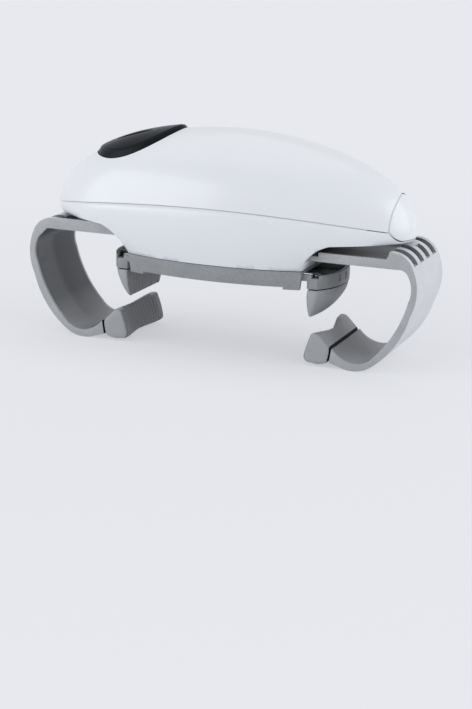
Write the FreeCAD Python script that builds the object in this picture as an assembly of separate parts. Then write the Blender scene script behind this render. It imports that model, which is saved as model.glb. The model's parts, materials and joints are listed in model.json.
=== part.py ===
"""Electric jar opener: two arms hold the jar, two jaws on a turntable unscrew the lid.

Millimetres. The origin is the centre of the lid seat, +Z up, X along the body,
and the front is -Y. Every sub-part has its own function and its own STEP file.
"""
import FreeCAD, Part
import math
import os

Vector = FreeCAD.Vector
UP = Vector(0, 0, 1)

# ---- housing -------------------------------------------------------------
BODY_AXIS_Z = 26.0        # height of the line that joins the two tips
BODY_LEFT = 92.5          # from the centre to the tip over the button's end
BODY_RISE = 42.8          # from the tip line to the crest
BODY_SQUASH = 0.79        # half-width of a section over its height
DOOR_END_SWELL = 0.2      # how much blunter than an ellipse the end with the door is
BELLY_TAPER = 0.313       # how much flatter the underside gets at BODY_SHOULDER
BODY_SHOULDER = 44.5
CREST_SPANS = 8           # spans of the crest curve from the middle to each tip
PARTING_TIP_Z = 27.2      # parting line at the tips
PARTING_CROWN_Z = 35.1    # and at the middle of its arch
TOP_WALL = 2.2
BOTTOM_WALL = 2.5
SEAM = 0.35               # visible groove between the two shells
LIP_HEIGHT = 1.8
LIP_WALL = 1.2
LIP_GAP = 0.15
SKIRT_Z = 8.0             # lower edge of the housing's skirt
FLOOR = 2.2
ARCH_WALL = 1.6
ARCH_START = (44.4, 16.2, 49.3)      # skirt end, then a point of the bend: X, Z and X
ARCH_HIP = (58.5, 21.4)
ARCH_TIP_Z = 23.2

# ---- turntable -----------------------------------------------------------
HUB_RADIUS = 12.0
RUNNING_GAP = 0.08
LOOSE = 0.3               # gap between pieces that pass each other
BUSH_WALL = 1.3
BUSH_FLANGE = 0.6
TABLE_TOP_Z = SKIRT_Z - 0.4
TABLE_HALF_LENGTH = 44.5
TABLE_HALF_WIDTH = 30.2
TABLE_END_WIDTH = 23.5
TABLE_DRAFT = 1.0
TABLE_LIP = 1.2           # how far the end lips reach below the lid seat
TABLE_SKIN = 1.3
RING_RADIUS = 16.5
RING_THICK = 1.6
PAD_THICK = 1.4           # rubber lid pad
BRIDGE_THICK = 1.3

# ---- lid jaws ------------------------------------------------------------
JAW_TRAVEL = 26.0
JAW_FACE_X = 46.4
JAW_DEPTH = 12.3          # from the gripping face to the outer wall
JAW_HALF_WIDTH = 20.5
JAW_WALL = 2.0
JAW_FLOOR_Z = (-0.6, 0.9)
JAW_SIDE_Z = 4.4          # top of the tray's side walls
JAW_TOP_Z = 6.0
JAW_GAP = 0.4             # between a jaw and the sides of its channel
JAW_WINDOWS = (3, 7.0)    # count and pitch of the slots in the outer wall
JAW_GUIDE_X = 27.0        # inner end of the guides in the channel
JAW_DECK = (38.0, 52.9)   # from and to along X: the deck that the screws stand on
JAW_DECK_TOP = 3.9
JAW_SCREW_Y = 14.5
JAW_TIP_Z = -14.9
JAW_SEAM = 0.3
WING_Z = (3.4, 4.6)
WING = 0.9
LID_TEETH = 12
RACK_TAIL = 2.9           # how far a jaw's rack reaches past the pinion at rest
RACK_BACK = 3.4           # from the pitch line of a jaw's rack to its back

# ---- gears ---------------------------------------------------------------
MODULE = 1.0
PRESSURE_ANGLE = math.radians(25.0)
BACKLASH = 0.22
ARM_TEETH = 16
SUN_TEETH = 12
PLANET_TEETH = 12
RING_TEETH = SUN_TEETH + 2 * PLANET_TEETH
RING_WALL = 1.9
INPUT_TEETH = 36
MOTOR_TEETH = 12
PLANETS = 3
PLANET_START = math.radians(90.0)

# ---- jar arms ------------------------------------------------------------
ARM_TRAVEL = 26.0
ARM_HALF_WIDTH = 21.5
RACK_THICK = 2.3
RACK_RIGHT_Z = 13.1
RACK_LEFT_Z = RACK_RIGHT_Z + RACK_THICK + LOOSE
RACK_HALF_WIDTH = ARM_HALF_WIDTH - 2.0
BAND_OUT_X = 99.8
GUTTER = 1.8              # depth of the trough along the inner face
RIM = 1.4
TONGUE_START = 52.0       # inner end of the rims beside the rack plate
TONGUE_RIM_Z = (17.4, 21.2)          # tops of those rims, right and left arm
PAD_SEAM = 0.9
VENTS = 5
VENT_PITCH = 8.0
VENT_RIB = 1.6

# ---- gearbox -------------------------------------------------------------
PLATE = 2.0
GEAR_FACE = 4.2
WEB = 1.5
POST_RADIUS = 2.2
SHAFT_RADIUS = 3.0
MOTOR_LENGTH = 25.0
BASE_HALF_LENGTH = 24.4
BRIDGE_HALF_LENGTH = 16.0  # of the plate across the jaw channel

# ---- battery bay ---------------------------------------------------------
CELL_RADIUS = 7.1
CELL_LENGTH = 49.5
CELL_NUB = 1.0
CELL_X = 28.0
CELL_Z = 32.3
DOOR_BOTTOM_Z = 24.2
DOOR_TOP_Z = 44.2
DOOR_HALF_WIDTH = 14.9
DOOR_GAP = 0.4
DOOR_WALL = 2.2
DOOR_DEPTH = 14.5         # from the cells to the tip of the door
LINK_PLATE = (21.0, 9.6)  # width and height of the plate that joins the cells

# ---- button --------------------------------------------------------------
BUTTON_X = -48.0
BUTTON_HALF_LENGTH = 22.7
BUTTON_HALF_WIDTH = 17.9
BUTTON_PROUD = 1.6
THUMB_GROOVE = (9.3, 1.3, 0.9)        # half-length, half-width and depth of the groove in the cap
THUMB_GROOVE_AT = (-1.7, -5.3)       # its middle, from the button's
BUTTON_WALL = 2.0
BUTTON_DEPTH = 4.1        # from the housing's skin to the edge of the button's skirt
BUTTON_FLANGE = 1.6
BUTTON_GAP = 0.4
BUTTON_TRAVEL = 1.2
STEM_RADIUS = 2.6

# ---- sizes that follow from the ones above -------------------------------
BODY_RIGHT = CELL_X + CELL_LENGTH + DOOR_DEPTH       # to the tip with the battery door
CHANNEL_HALF_WIDTH = JAW_HALF_WIDTH + JAW_GAP
BRIDGE_SCREW_Y = CHANNEL_HALF_WIDTH + WING + 2.4
BRIDGE_HALF_WIDTH = BRIDGE_SCREW_Y + 2.4
FLOOR_TOP = SKIRT_Z + FLOOR
RING_Z = FLOOR_TOP + BUSH_FLANGE + 0.2
BASE_Z = RACK_LEFT_Z + RACK_THICK + LOOSE
RING_WEB_Z = BASE_Z + PLATE + LOOSE
CARRIER_Z = RING_WEB_Z + WEB + LOOSE
PLANET_Z = CARRIER_Z + WEB + LOOSE
RING_TOP_Z = PLANET_Z + GEAR_FACE + 0.2
INPUT_Z = RING_TOP_Z + 0.7
INPUT_THICK = 3.0
DECK_Z = INPUT_Z + INPUT_THICK + 0.6
DECK_TOP = DECK_Z + PLATE
MOTOR_HALF_HEIGHT = 7.5
ARM_PITCH = MODULE * ARM_TEETH / 2
LID_PITCH = MODULE * LID_TEETH / 2
MOTOR_X = -MODULE * (INPUT_TEETH + MOTOR_TEETH) / 2
CLUTCH_Z = RING_Z + RING_THICK
BRIDGE_X = (-55.0, -39.5)
BOARD = 1.6
BOARD_Z = DECK_TOP + 2 * MOTOR_HALF_HEIGHT + 3.0
SWITCH_HEIGHT = 3.5
SWITCH_TOP = BOARD_Z + BOARD + SWITCH_HEIGHT + 0.8


# ---- drawing helpers -----------------------------------------------------
PLACES = {
    "XY": lambda a, b: Vector(a, b, 0),
    "XZ": lambda a, b: Vector(a, 0, b),
    "YZ": lambda a, b: Vector(0, a, b),
}
NORMALS = {"XY": Vector(0, 0, 1), "XZ": Vector(0, 1, 0), "YZ": Vector(1, 0, 0)}


def outline(plane, start, steps):
    """Closed wire. A step is the next corner, or (through, end) for an arc."""
    place = PLACES[plane]
    edges = []
    here = start
    for step in list(steps) + [start]:
        if isinstance(step[0], tuple):
            through, end = step
            edges.append(Part.Arc(place(*here), place(*through), place(*end)).toShape())
        else:
            end = step
            if math.dist(here, end) > 1e-6:
                edges.append(Part.makeLine(place(*here), place(*end)))
        here = end
    return Part.Wire(edges)


def slab(plane, start, steps, low, high):
    """Prism of an outline between two offsets along the plane's normal."""
    face = Part.Face(outline(plane, start, steps))
    normal = NORMALS[plane]
    face.translate(normal * low)
    return face.extrude(normal * (high - low))


def box(x, y, z):
    """Box between the pairs x, y and z."""
    corner = Vector(x[0], y[0], z[0])
    return Part.makeBox(x[1] - x[0], y[1] - y[0], z[1] - z[0], corner)


def rod(x, y, low, high, radius):
    """Upright cylinder."""
    return Part.makeCylinder(radius, high - low, Vector(x, y, low))


def tube(x, y, low, high, outer, inner):
    return rod(x, y, low, high, outer).cut(rod(x, y, low - 1, high + 1, inner))


def oval(x, half_length, half_width, low, high):
    """Upright elliptical prism with its long axis along X."""
    if half_length < half_width:
        raise ValueError("the long axis of an oval lies along X")
    ellipse = Part.Ellipse(Vector(x, 0, low), half_length, half_width)
    return Part.Face(Part.Wire(ellipse.toShape())).extrude(UP * (high - low))


def joined(pieces):
    """One solid out of pieces that overlap."""
    return pieces[0].multiFuse(pieces[1:]).removeSplitter()


def turned(shape):
    """The same shape for the other side: half a turn about the vertical axis."""
    copy = shape.copy()
    copy.rotate(Vector(0, 0, 0), UP, 180)
    return copy


def save(name, shape):
    shape.exportStep("parts/" + name + ".step")


# ---- housing form --------------------------------------------------------
def belly(x):
    """How much flatter than its top the underside of a section is."""
    return 1 + BELLY_TAPER * (x / BODY_SHOULDER) ** 2


def body_form(inset):
    """Egg-shaped body, inset from the outer skin. Its sections are half ellipses."""
    along = 1 - 2 * inset / (BODY_LEFT + BODY_RIGHT)
    across = 1 - inset / (BODY_RISE * BODY_SQUASH)
    upward = 1 - inset / BODY_RISE
    angles = [math.pi / 2 * index / CREST_SPANS for index in range(-CREST_SPANS, CREST_SPANS + 1)]
    points = []
    for angle in angles:
        reach = BODY_LEFT if angle < 0 else BODY_RIGHT
        swell = 1 + DOOR_END_SWELL * max(0.0, math.sin(angle)) ** 10
        points.append(Vector(reach * along * math.sin(angle), 0, BODY_RISE * swell * math.cos(angle)))
    crest = Part.BSplineCurve()
    crest.interpolate(Points=points, Parameters=angles)
    faces = []
    for side in (1, -1):
        for top in (True, False):
            faces.append(body_quarter(crest, side, top, across, upward))
    shell = Part.makeShell(faces)
    shell.sewShape()
    return Part.makeSolid(Part.Shell(shell.Faces))


def body_quarter(crest, side, top, across, upward):
    """One of the four faces of the body: a row of quarter ellipses."""
    poles = []
    weights = []
    for pole in crest.getPoles():
        half_width = side * pole.z * BODY_SQUASH * across
        rise = pole.z * upward
        if not top:
            rise = -rise / belly(pole.x)
        poles.append([Vector(pole.x, half_width, BODY_AXIS_Z),
                      Vector(pole.x, half_width, BODY_AXIS_Z + rise),
                      Vector(pole.x, 0, BODY_AXIS_Z + rise)])
        weights.append([1.0, math.sqrt(0.5), 1.0])
    surface = Part.BSplineSurface()
    surface.buildFromPolesMultsKnots(poles, crest.getMultiplicities(), [3, 3], crest.getKnots(),
                                     [0.0, 1.0], False, False, crest.Degree, 2, weights)
    return surface.toShape()


FAR = 130.0               # beyond every piece, for cutting tools


def above_parting(drop=0.0):
    """Everything over the arched parting line, lowered by drop."""
    tip = PARTING_TIP_Z - drop
    crown = (0, PARTING_CROWN_Z - drop)
    steps = [(-BODY_LEFT, tip), (crown, (BODY_RIGHT, tip)), (FAR, tip), (FAR, FAR), (-FAR, FAR)]
    return slab("XZ", (-FAR, tip), steps, -FAR, FAR)


def arch_space(grow=0.0):
    """Room for the arms under both ends of the housing, grown into the wall by grow."""
    start_x, bend_z, bend_x = ARCH_START
    hip = (ARCH_HIP[0], ARCH_HIP[1] + grow)
    bend = (bend_x - 0.7 * grow, bend_z + 0.7 * grow)
    steps = [(start_x - grow, SKIRT_Z), (bend, hip), (BODY_RIGHT + 1, ARCH_TIP_Z + grow),
             (FAR, ARCH_TIP_Z + grow), (FAR, -FAR)]
    right = slab("XZ", (start_x - grow, -FAR), steps, -FAR, FAR)
    return right.fuse(turned(right))


def door_plug(grow, low, high):
    """Outline of the battery door as a prism along X."""
    bottom = DOOR_BOTTOM_Z - grow
    top = DOOR_TOP_Z + grow
    wide = DOOR_HALF_WIDTH + grow
    foot = wide - 5.2
    side_z = DOOR_BOTTOM_Z + 4.9
    heel = (wide - 1.7, bottom + 1.7)
    shoulder = (0.81 * wide, side_z + 0.52 * (top - side_z))
    steps = [(foot, bottom), (heel, (wide, side_z)), (shoulder, (0, top)),
             ((-shoulder[0], shoulder[1]), (-wide, side_z)), ((-heel[0], heel[1]), (-foot, bottom))]
    return slab("YZ", (-foot, bottom), steps, low, high)


def button_hole(grow):
    return oval(BUTTON_X, BUTTON_HALF_LENGTH + grow, BUTTON_HALF_WIDTH + grow, BODY_AXIS_Z + 12, FAR)


# ---- places of the screws and posts --------------------------------------
PLATE_HALF_WIDTH = ARM_HALF_WIDTH - 0.5              # of the gearbox plates
SHELL_SCREWS = [(x, side * (ARM_HALF_WIDTH + 3.5)) for x in (-26.0, 26.0) for side in (-1, 1)]
BASE_SCREWS = [(x, side * (ARM_HALF_WIDTH + 2.5)) for x in (-14.0, 14.0) for side in (-1, 1)]
DECK_POSTS = [(x, side * (PLATE_HALF_WIDTH - 2.0)) for x in (-21.0, 21.0) for side in (-1, 1)]
SHELL_BOSS = 2.8
SCREW_RADIUS = 1.1
HEAD_RADIUS = 2.1
HEAD_THICK = 1.4


def screw(x, y, head_z, length):
    """Pan-head screw driven upward from head_z."""
    head = rod(x, y, head_z - HEAD_THICK, head_z, HEAD_RADIUS)
    slot = box((x - HEAD_RADIUS, x + HEAD_RADIUS), (y - 0.25, y + 0.25),
               (head_z - HEAD_THICK, head_z - HEAD_THICK + 0.6))
    return head.cut(slot).fuse(rod(x, y, head_z, head_z + length, SCREW_RADIUS))


def down_screw(x, y, head_z, length):
    """Pan-head screw driven downward from head_z."""
    turned_over = screw(x, -y, -head_z, length)
    turned_over.rotate(Vector(0, 0, 0), Vector(1, 0, 0), 180)
    return turned_over


# ---- housing pieces ------------------------------------------------------
def top_shell():
    outer = body_form(0).common(above_parting())
    shell = outer.cut(body_form(TOP_WALL))
    bosses = []
    for x, y in SHELL_SCREWS:
        post = rod(x, y, BODY_AXIS_Z, FAR, SHELL_BOSS)
        post = post.common(body_form(TOP_WALL / 2)).common(above_parting())
        bosses.append(post.cut(rod(x, y, 0, BODY_AXIS_Z + 14, SCREW_RADIUS)))
    shell = joined([shell] + bosses)
    shell = shell.cut(button_hole(BUTTON_GAP))
    return shell.cut(door_plug(DOOR_GAP, CELL_X + CELL_LENGTH - 6, FAR))


def rails():
    """Guides for the two rack plates, on the floor of the bottom shell."""
    pieces = []
    reach = (18.0, 43.0)
    low_rail = RACK_RIGHT_Z - LOOSE
    high_rail = RACK_LEFT_Z - LOOSE
    edge = ARM_HALF_WIDTH + LOOSE
    step = RACK_HALF_WIDTH + LOOSE
    for front in (1, -1):
        inner = sorted((front * 17.4, front * edge))
        outer = sorted((front * edge, front * (edge + 1.5)))
        ledge = sorted((front * step, front * edge))
        for side in (1, -1):
            length = sorted((side * reach[0], side * reach[1]))
            pieces.append(box(length, inner, (FLOOR_TOP - 0.5, low_rail)))
            pieces.append(box(length, outer, (FLOOR_TOP - 0.5, BASE_Z)))
        pieces.append(box((-reach[1], -reach[0]), ledge, (FLOOR_TOP - 0.5, high_rail)))
    return pieces


def bottom_shell():
    outer = body_form(0).cut(above_parting(SEAM)).common(box((-FAR, FAR), (-FAR, FAR), (SKIRT_Z, FAR)))
    outer = outer.cut(arch_space())
    hollow = body_form(BOTTOM_WALL).cut(arch_space(ARCH_WALL))
    hollow = hollow.common(box((-FAR, FAR), (-FAR, FAR), (FLOOR_TOP, FAR)))
    shell = outer.cut(hollow)
    lip = body_form(TOP_WALL + LIP_GAP).cut(body_form(TOP_WALL + LIP_GAP + LIP_WALL))
    lip = lip.common(above_parting(SEAM + 3)).cut(above_parting(-LIP_HEIGHT))
    lip = lip.cut(arch_space(ARCH_WALL / 2))
    pieces = [shell, lip]
    inside = body_form(BOTTOM_WALL / 2).cut(above_parting(SEAM))
    inside = inside.cut(arch_space(ARCH_WALL / 2))
    for piece in rails():
        pieces.append(piece.common(inside))
    for x, y in SHELL_SCREWS:
        pieces.append(rod(x, y, FLOOR_TOP - 0.5, FAR, SHELL_BOSS).common(inside))
    for x, y in BASE_SCREWS:
        pieces.append(rod(x, y, FLOOR_TOP - 0.5, BASE_Z, POST_RADIUS).common(inside))
    pieces += bay_wall()
    shell = joined(pieces)
    for x, y in SHELL_SCREWS:
        shell = shell.cut(rod(x, y, 0, FAR, SCREW_RADIUS + 0.15))
        shell = shell.cut(rod(x, y, 0, SKIRT_Z + 4.0, HEAD_RADIUS + 0.3))
    for x, y in BASE_SCREWS:
        shell = shell.cut(rod(x, y, FLOOR_TOP + 2, FAR, SCREW_RADIUS))
    shell = shell.cut(rod(0, 0, 0, FLOOR_TOP + 1, HUB_RADIUS + RUNNING_GAP + BUSH_WALL))
    side_room = ARM_HALF_WIDTH + LOOSE
    low = RACK_RIGHT_Z - LOOSE
    for along, high in (((40.0, 60.0), BASE_Z), ((-60.0, -40.0), TONGUE_RIM_Z[1] + LOOSE)):
        shell = shell.cut(box(along, (-side_room, side_room), (low, high)))
    return shell.cut(door_plug(DOOR_GAP, CELL_X + CELL_LENGTH - 6, FAR))


def bay_wall():
    """Wall behind the cells: from side to side at the bottom, narrower over the parting line."""
    along = (CELL_X - 3.0, CELL_X - 1.6)
    low = box(along, (-FAR, FAR), (BASE_Z, BODY_AXIS_Z + 4)).common(body_form(TOP_WALL + LIP_GAP + LOOSE))
    half_width = 2 * CELL_RADIUS + 3.0
    high = box(along, (-half_width, half_width), (BODY_AXIS_Z, CELL_Z + CELL_RADIUS))
    return [low, high]


def hub_bush():
    """Flanged plastic bearing of the turntable in the floor."""
    bore = HUB_RADIUS + RUNNING_GAP
    sleeve = tube(0, 0, SKIRT_Z, FLOOR_TOP + BUSH_FLANGE, bore + BUSH_WALL, bore)
    return sleeve.fuse(tube(0, 0, FLOOR_TOP, FLOOR_TOP + BUSH_FLANGE, bore + BUSH_WALL + 2, bore))


def shell_screws():
    return Part.Compound([screw(x, y, SKIRT_Z + 4.0, 26.0) for x, y in SHELL_SCREWS])


# ---- gears ---------------------------------------------------------------
def polar(radius, angle):
    return (radius * math.cos(angle), radius * math.sin(angle))


def half_tooth(teeth, radius, slack):
    """Half the angle that an involute tooth takes up at a radius."""
    pitch = MODULE * teeth / 2
    base = pitch * math.cos(PRESSURE_ANGLE)
    roll = math.acos(min(1.0, base / max(radius, base)))
    swell = math.tan(PRESSURE_ANGLE) - PRESSURE_ANGLE - (math.tan(roll) - roll)
    return math.pi / (2 * teeth) - slack / (2 * pitch) + swell


def tooth_ring(teeth, first, last, phase, slack):
    """Closed gear outline from its inner to its outer radius, with a tooth at the phase angle."""
    middle = (first + last) / 2
    radii = [first, middle, last]
    points = []
    for index in range(teeth):
        centre = phase + 2 * math.pi * index / teeth
        for radius in radii:
            points.append(polar(radius, centre - half_tooth(teeth, radius, slack)))
        for radius in reversed(radii):
            points.append(polar(radius, centre + half_tooth(teeth, radius, slack)))
    return points


def spur(teeth, phase, low, high):
    """External gear on the vertical axis."""
    pitch = MODULE * teeth / 2
    points = tooth_ring(teeth, pitch - 1.25 * MODULE, pitch + MODULE, phase, BACKLASH)
    return slab("XY", points[0], points[1:], low, high)


def ring_space(teeth, phase, low, high):
    """The space inside an internal gear."""
    pitch = MODULE * teeth / 2
    points = tooth_ring(teeth, pitch - 0.8 * MODULE, pitch + 1.25 * MODULE, phase, -BACKLASH)
    return slab("XY", points[0], points[1:], low, high)


def rack_edge(first, last, pitch_y, into):
    """Rack outline along X with a gap at X = 0. Its teeth point along -into in Y."""
    pitch = math.pi * MODULE
    lean = math.tan(PRESSURE_ANGLE)
    half = pitch / 4 - BACKLASH / 2
    tip = pitch_y - into * MODULE * 0.95
    root = pitch_y + into * MODULE * 1.25
    points = []
    index = math.ceil(first / pitch - 0.5)
    while (index + 0.5) * pitch < last:
        centre = (index + 0.5) * pitch
        foot = half + 1.25 * MODULE * lean
        crown = half - 0.95 * MODULE * lean
        if centre - foot > first and centre + foot < last:
            points += [(centre - foot, root), (centre - crown, tip), (centre + crown, tip), (centre + foot, root)]
        index += 1
    return points


def planet_angle(index):
    return PLANET_START + 2 * math.pi * index / PLANETS


def planet_place(index):
    return polar(MODULE * (SUN_TEETH + PLANET_TEETH) / 2, planet_angle(index))


def arm_gear():
    """Pinion for the two racks and internal ring gear, moulded in one piece."""
    neck = ARM_PITCH + MODULE + 0.2
    rim = MODULE * RING_TEETH / 2 + 1.25 * MODULE + RING_WALL
    pinion = spur(ARM_TEETH, 0.0, CLUTCH_Z + LOOSE, BASE_Z + 0.1)
    collar = rod(0, 0, BASE_Z - 0.1, RING_WEB_Z + 0.1, neck)
    drum = rod(0, 0, RING_WEB_Z, RING_TOP_Z, rim)
    drum = drum.cut(ring_space(RING_TEETH, ring_phase(), RING_WEB_Z + WEB, FAR))
    gear = joined([pinion, collar, drum])
    return gear.cut(rod(0, 0, 0, FAR, SHAFT_RADIUS + LOOSE))


def mating_phase(teeth, direction, driver_teeth):
    """Phase of a gear that lies in this direction from a driver with a tooth on +X."""
    return direction + math.pi + (driver_teeth * direction - math.pi) / teeth


def ring_phase():
    """Phase of the ring's spaces, so that the first planet's teeth enter them."""
    first = mating_phase(PLANET_TEETH, PLANET_START, SUN_TEETH)
    return PLANET_START + PLANET_TEETH * (first - PLANET_START) / RING_TEETH


def planet_gear(index):
    own_phase = mating_phase(PLANET_TEETH, planet_angle(index), SUN_TEETH)
    gear = spur(PLANET_TEETH, own_phase, PLANET_Z, PLANET_Z + GEAR_FACE)
    gear = gear.cut(rod(0, 0, 0, FAR, 1.5 + 0.05))
    x, y = planet_place(index)
    gear.translate(Vector(x, y, 0))
    return gear


def planet_carrier():
    """Three-armed plate that carries the planets, with the shaft to the lid clutch."""
    plate = rod(0, 0, CARRIER_Z, CARRIER_Z + WEB, 6.0)
    pieces = [plate, rod(0, 0, CLUTCH_Z + LOOSE, CARRIER_Z + 0.1, SHAFT_RADIUS)]
    for index in range(PLANETS):
        x, y = planet_place(index)
        pieces.append(rod(x, y, CARRIER_Z, CARRIER_Z + WEB, 4.0))
        arm = box((0, math.hypot(x, y)), (-3.0, 3.0), (CARRIER_Z, CARRIER_Z + WEB))
        arm.rotate(Vector(0, 0, 0), UP, math.degrees(planet_angle(index)))
        pieces.append(arm)
    plate = joined(pieces)
    for index in range(PLANETS):
        x, y = planet_place(index)
        plate = plate.cut(rod(x, y, 0, FAR, 1.5))
    return plate


def planet_pins():
    pins = []
    for index in range(PLANETS):
        x, y = planet_place(index)
        pin = rod(x, y, CARRIER_Z, PLANET_Z + GEAR_FACE + 0.1, 1.5)
        pins.append(pin.fuse(rod(x, y, PLANET_Z + GEAR_FACE + 0.1, PLANET_Z + GEAR_FACE + 0.5, 2.4)))
    return Part.Compound(pins)


def sun_gear():
    """Sun, large input gear and journal in one piece."""
    sun = spur(SUN_TEETH, 0.0, PLANET_Z, INPUT_Z + 0.1)
    wheel = spur(INPUT_TEETH, 0.0, INPUT_Z, INPUT_Z + INPUT_THICK)
    for index in range(6):
        x, y = polar(11.0, 2 * math.pi * index / 6)
        wheel = wheel.cut(rod(x, y, INPUT_Z - 1, INPUT_Z + INPUT_THICK + 1, 3.2))
    journal = rod(0, 0, INPUT_Z + INPUT_THICK - 0.1, DECK_TOP, 4.0)
    return joined([sun, wheel, journal])


def motor_pinion():
    """Pinion and output shaft of the gear motor."""
    own_phase = mating_phase(MOTOR_TEETH, math.pi, INPUT_TEETH)
    gear = spur(MOTOR_TEETH, own_phase, INPUT_Z - 0.3, INPUT_Z + INPUT_THICK)
    shaft = rod(0, 0, INPUT_Z + INPUT_THICK - 0.1, DECK_TOP, 2.0)
    pinion = joined([gear, shaft])
    pinion.translate(Vector(MOTOR_X, 0, 0))
    return pinion


# ---- gearbox -------------------------------------------------------------
def gearbox_base():
    """Plate over the racks, with the bearing of the arm gear."""
    plate = box((-BASE_HALF_LENGTH, BASE_HALF_LENGTH), (-PLATE_HALF_WIDTH, PLATE_HALF_WIDTH), (BASE_Z, BASE_Z + PLATE))
    pieces = [plate]
    for x, y in BASE_SCREWS:
        pieces.append(rod(x, y, BASE_Z, BASE_Z + PLATE, POST_RADIUS + 0.8))
        pieces.append(box((x - 2.4, x + 2.4), sorted((0.8 * y, y)), (BASE_Z, BASE_Z + PLATE)))
    for x, y in DECK_POSTS:
        pieces.append(rod(x, y, BASE_Z, DECK_Z, POST_RADIUS))
    plate = joined(pieces)
    plate = plate.cut(rod(0, 0, 0, FAR, ARM_PITCH + MODULE + 0.2 + RUNNING_GAP))
    for x, y in BASE_SCREWS:
        plate = plate.cut(rod(x, y, 0, FAR, SCREW_RADIUS + 0.1))
    for x, y in DECK_POSTS:
        plate = plate.cut(rod(x, y, BASE_Z + PLATE + 4, FAR, SCREW_RADIUS))
    return plate


def gearbox_deck():
    """Top plate of the gearbox. It carries the motor and the switch bridge."""
    plate = box((-57.0, 21.0), (-14.0, 14.0), (DECK_Z, DECK_TOP))
    reach = BASE_HALF_LENGTH - 0.4
    wide = box((-reach, reach), (-PLATE_HALF_WIDTH, PLATE_HALF_WIDTH), (DECK_Z, DECK_TOP))
    plate = joined([plate, wide])
    plate = plate.cut(rod(0, 0, 0, FAR, 4.0 + RUNNING_GAP))
    plate = plate.cut(rod(MOTOR_X, 0, 0, FAR, 2.0 + RUNNING_GAP))
    for x, y in DECK_POSTS:
        plate = plate.cut(rod(x, y, 0, FAR, SCREW_RADIUS + 0.1))
    return plate


def gearbox_screws():
    screws = [down_screw(x, y, BASE_Z + PLATE, 7.0) for x, y in BASE_SCREWS]
    screws += [down_screw(x, y, DECK_TOP, 9.0) for x, y in DECK_POSTS]
    return Part.Compound(screws)


def worm_gearbox():
    """Closed worm gearbox, its output shaft pointing down."""
    case = box((MOTOR_X - 14.0, MOTOR_X + 12.0), (-11.0, 11.0), (DECK_TOP, DECK_TOP + 15.0))
    case = case.makeFillet(1.5, [edge for edge in case.Edges if abs(edge.BoundBox.ZLength - 15.0) < 0.01])
    return case.cut(rod(MOTOR_X, 0, DECK_TOP - 1, DECK_TOP + 0.3, 3.0))


def motor_can():
    """Small direct-current motor with two flat sides, lying along X."""
    middle = DECK_TOP + MOTOR_HALF_HEIGHT
    end = MOTOR_X - 14.0
    can = Part.makeCylinder(10.0, MOTOR_LENGTH, Vector(end - MOTOR_LENGTH, 0, middle), Vector(1, 0, 0))
    can = can.common(box((-FAR, FAR), (-FAR, FAR), (DECK_TOP, DECK_TOP + 2 * MOTOR_HALF_HEIGHT)))
    boss = Part.makeCylinder(3.1, 2.0, Vector(end - MOTOR_LENGTH - 2.0, 0, middle), Vector(1, 0, 0))
    return can.fuse(boss)


def switch_bridge():
    """Moulded bridge over the motor that carries the switch board."""
    pieces = [box(BRIDGE_X, (-12.6, 12.6), (BOARD_Z - 1.8, BOARD_Z))]
    for side in (1, -1):
        leg = sorted((side * 11.0, side * 12.6))
        pieces.append(box(BRIDGE_X, leg, (DECK_TOP, BOARD_Z)))
    return joined(pieces)


def switch_board():
    board = box((BUTTON_X - 7.0, BUTTON_X + 7.0), (-9.0, 9.0), (BOARD_Z, BOARD_Z + BOARD))
    return board


def tact_switch():
    low = BOARD_Z + BOARD
    case = box((BUTTON_X - 3.0, BUTTON_X + 3.0), (-3.0, 3.0), (low, low + SWITCH_HEIGHT))
    return case.fuse(rod(BUTTON_X, 0, low + SWITCH_HEIGHT - 0.1, SWITCH_TOP, 1.7))


# ---- button --------------------------------------------------------------
def power_button():
    """Oval cap in the curve of the housing, with a skirt, a stop flange and a stem."""
    cap = button_hole(0).common(body_form(-BUTTON_PROUD))
    flange = button_hole(BUTTON_FLANGE).common(body_form(TOP_WALL + LOOSE + BUTTON_TRAVEL / 4))
    hollow = button_hole(-BUTTON_WALL).common(body_form(BUTTON_WALL - BUTTON_PROUD))
    button = cap.fuse(flange).cut(hollow).cut(body_form(BUTTON_DEPTH))
    stem_end = SWITCH_TOP + BUTTON_TRAVEL + LOOSE
    stem = rod(BUTTON_X, 0, stem_end, FAR, STEM_RADIUS).common(body_form(0))
    half_length, half_width, depth = THUMB_GROOVE
    groove = oval(BUTTON_X + THUMB_GROOVE_AT[0], half_length, half_width, 0, FAR)
    groove.translate(Vector(0, THUMB_GROOVE_AT[1], 0))
    return button.fuse(stem).cut(groove.cut(body_form(depth - BUTTON_PROUD)))


def button_spring():
    """Compression spring round the button's stem."""
    low = BOARD_Z + BOARD
    high = button_underside() - 0.1
    wire = 0.35
    turns = 3.5
    height = high - low - 2 * wire
    path = Part.makeHelix(height / turns, height, 4.65)
    path.translate(Vector(0, 0, low + wire))
    section = Part.Wire(Part.makeCircle(wire, Vector(4.65, 0, low + wire), Vector(0, 1, 0)))
    coil = Part.Wire(path.Edges).makePipeShell([section], True, True)
    coil.translate(Vector(BUTTON_X, 0, 0))
    return coil


def button_underside():
    """Height of the cap's inner face over the switch."""
    probe = rod(BUTTON_X, 0, BODY_AXIS_Z, FAR, 4.8).common(body_form(BUTTON_WALL - BUTTON_PROUD))
    lowest = [vertex.Z for vertex in probe.Vertexes if vertex.Z > BODY_AXIS_Z + 1]
    return min(lowest)


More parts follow.
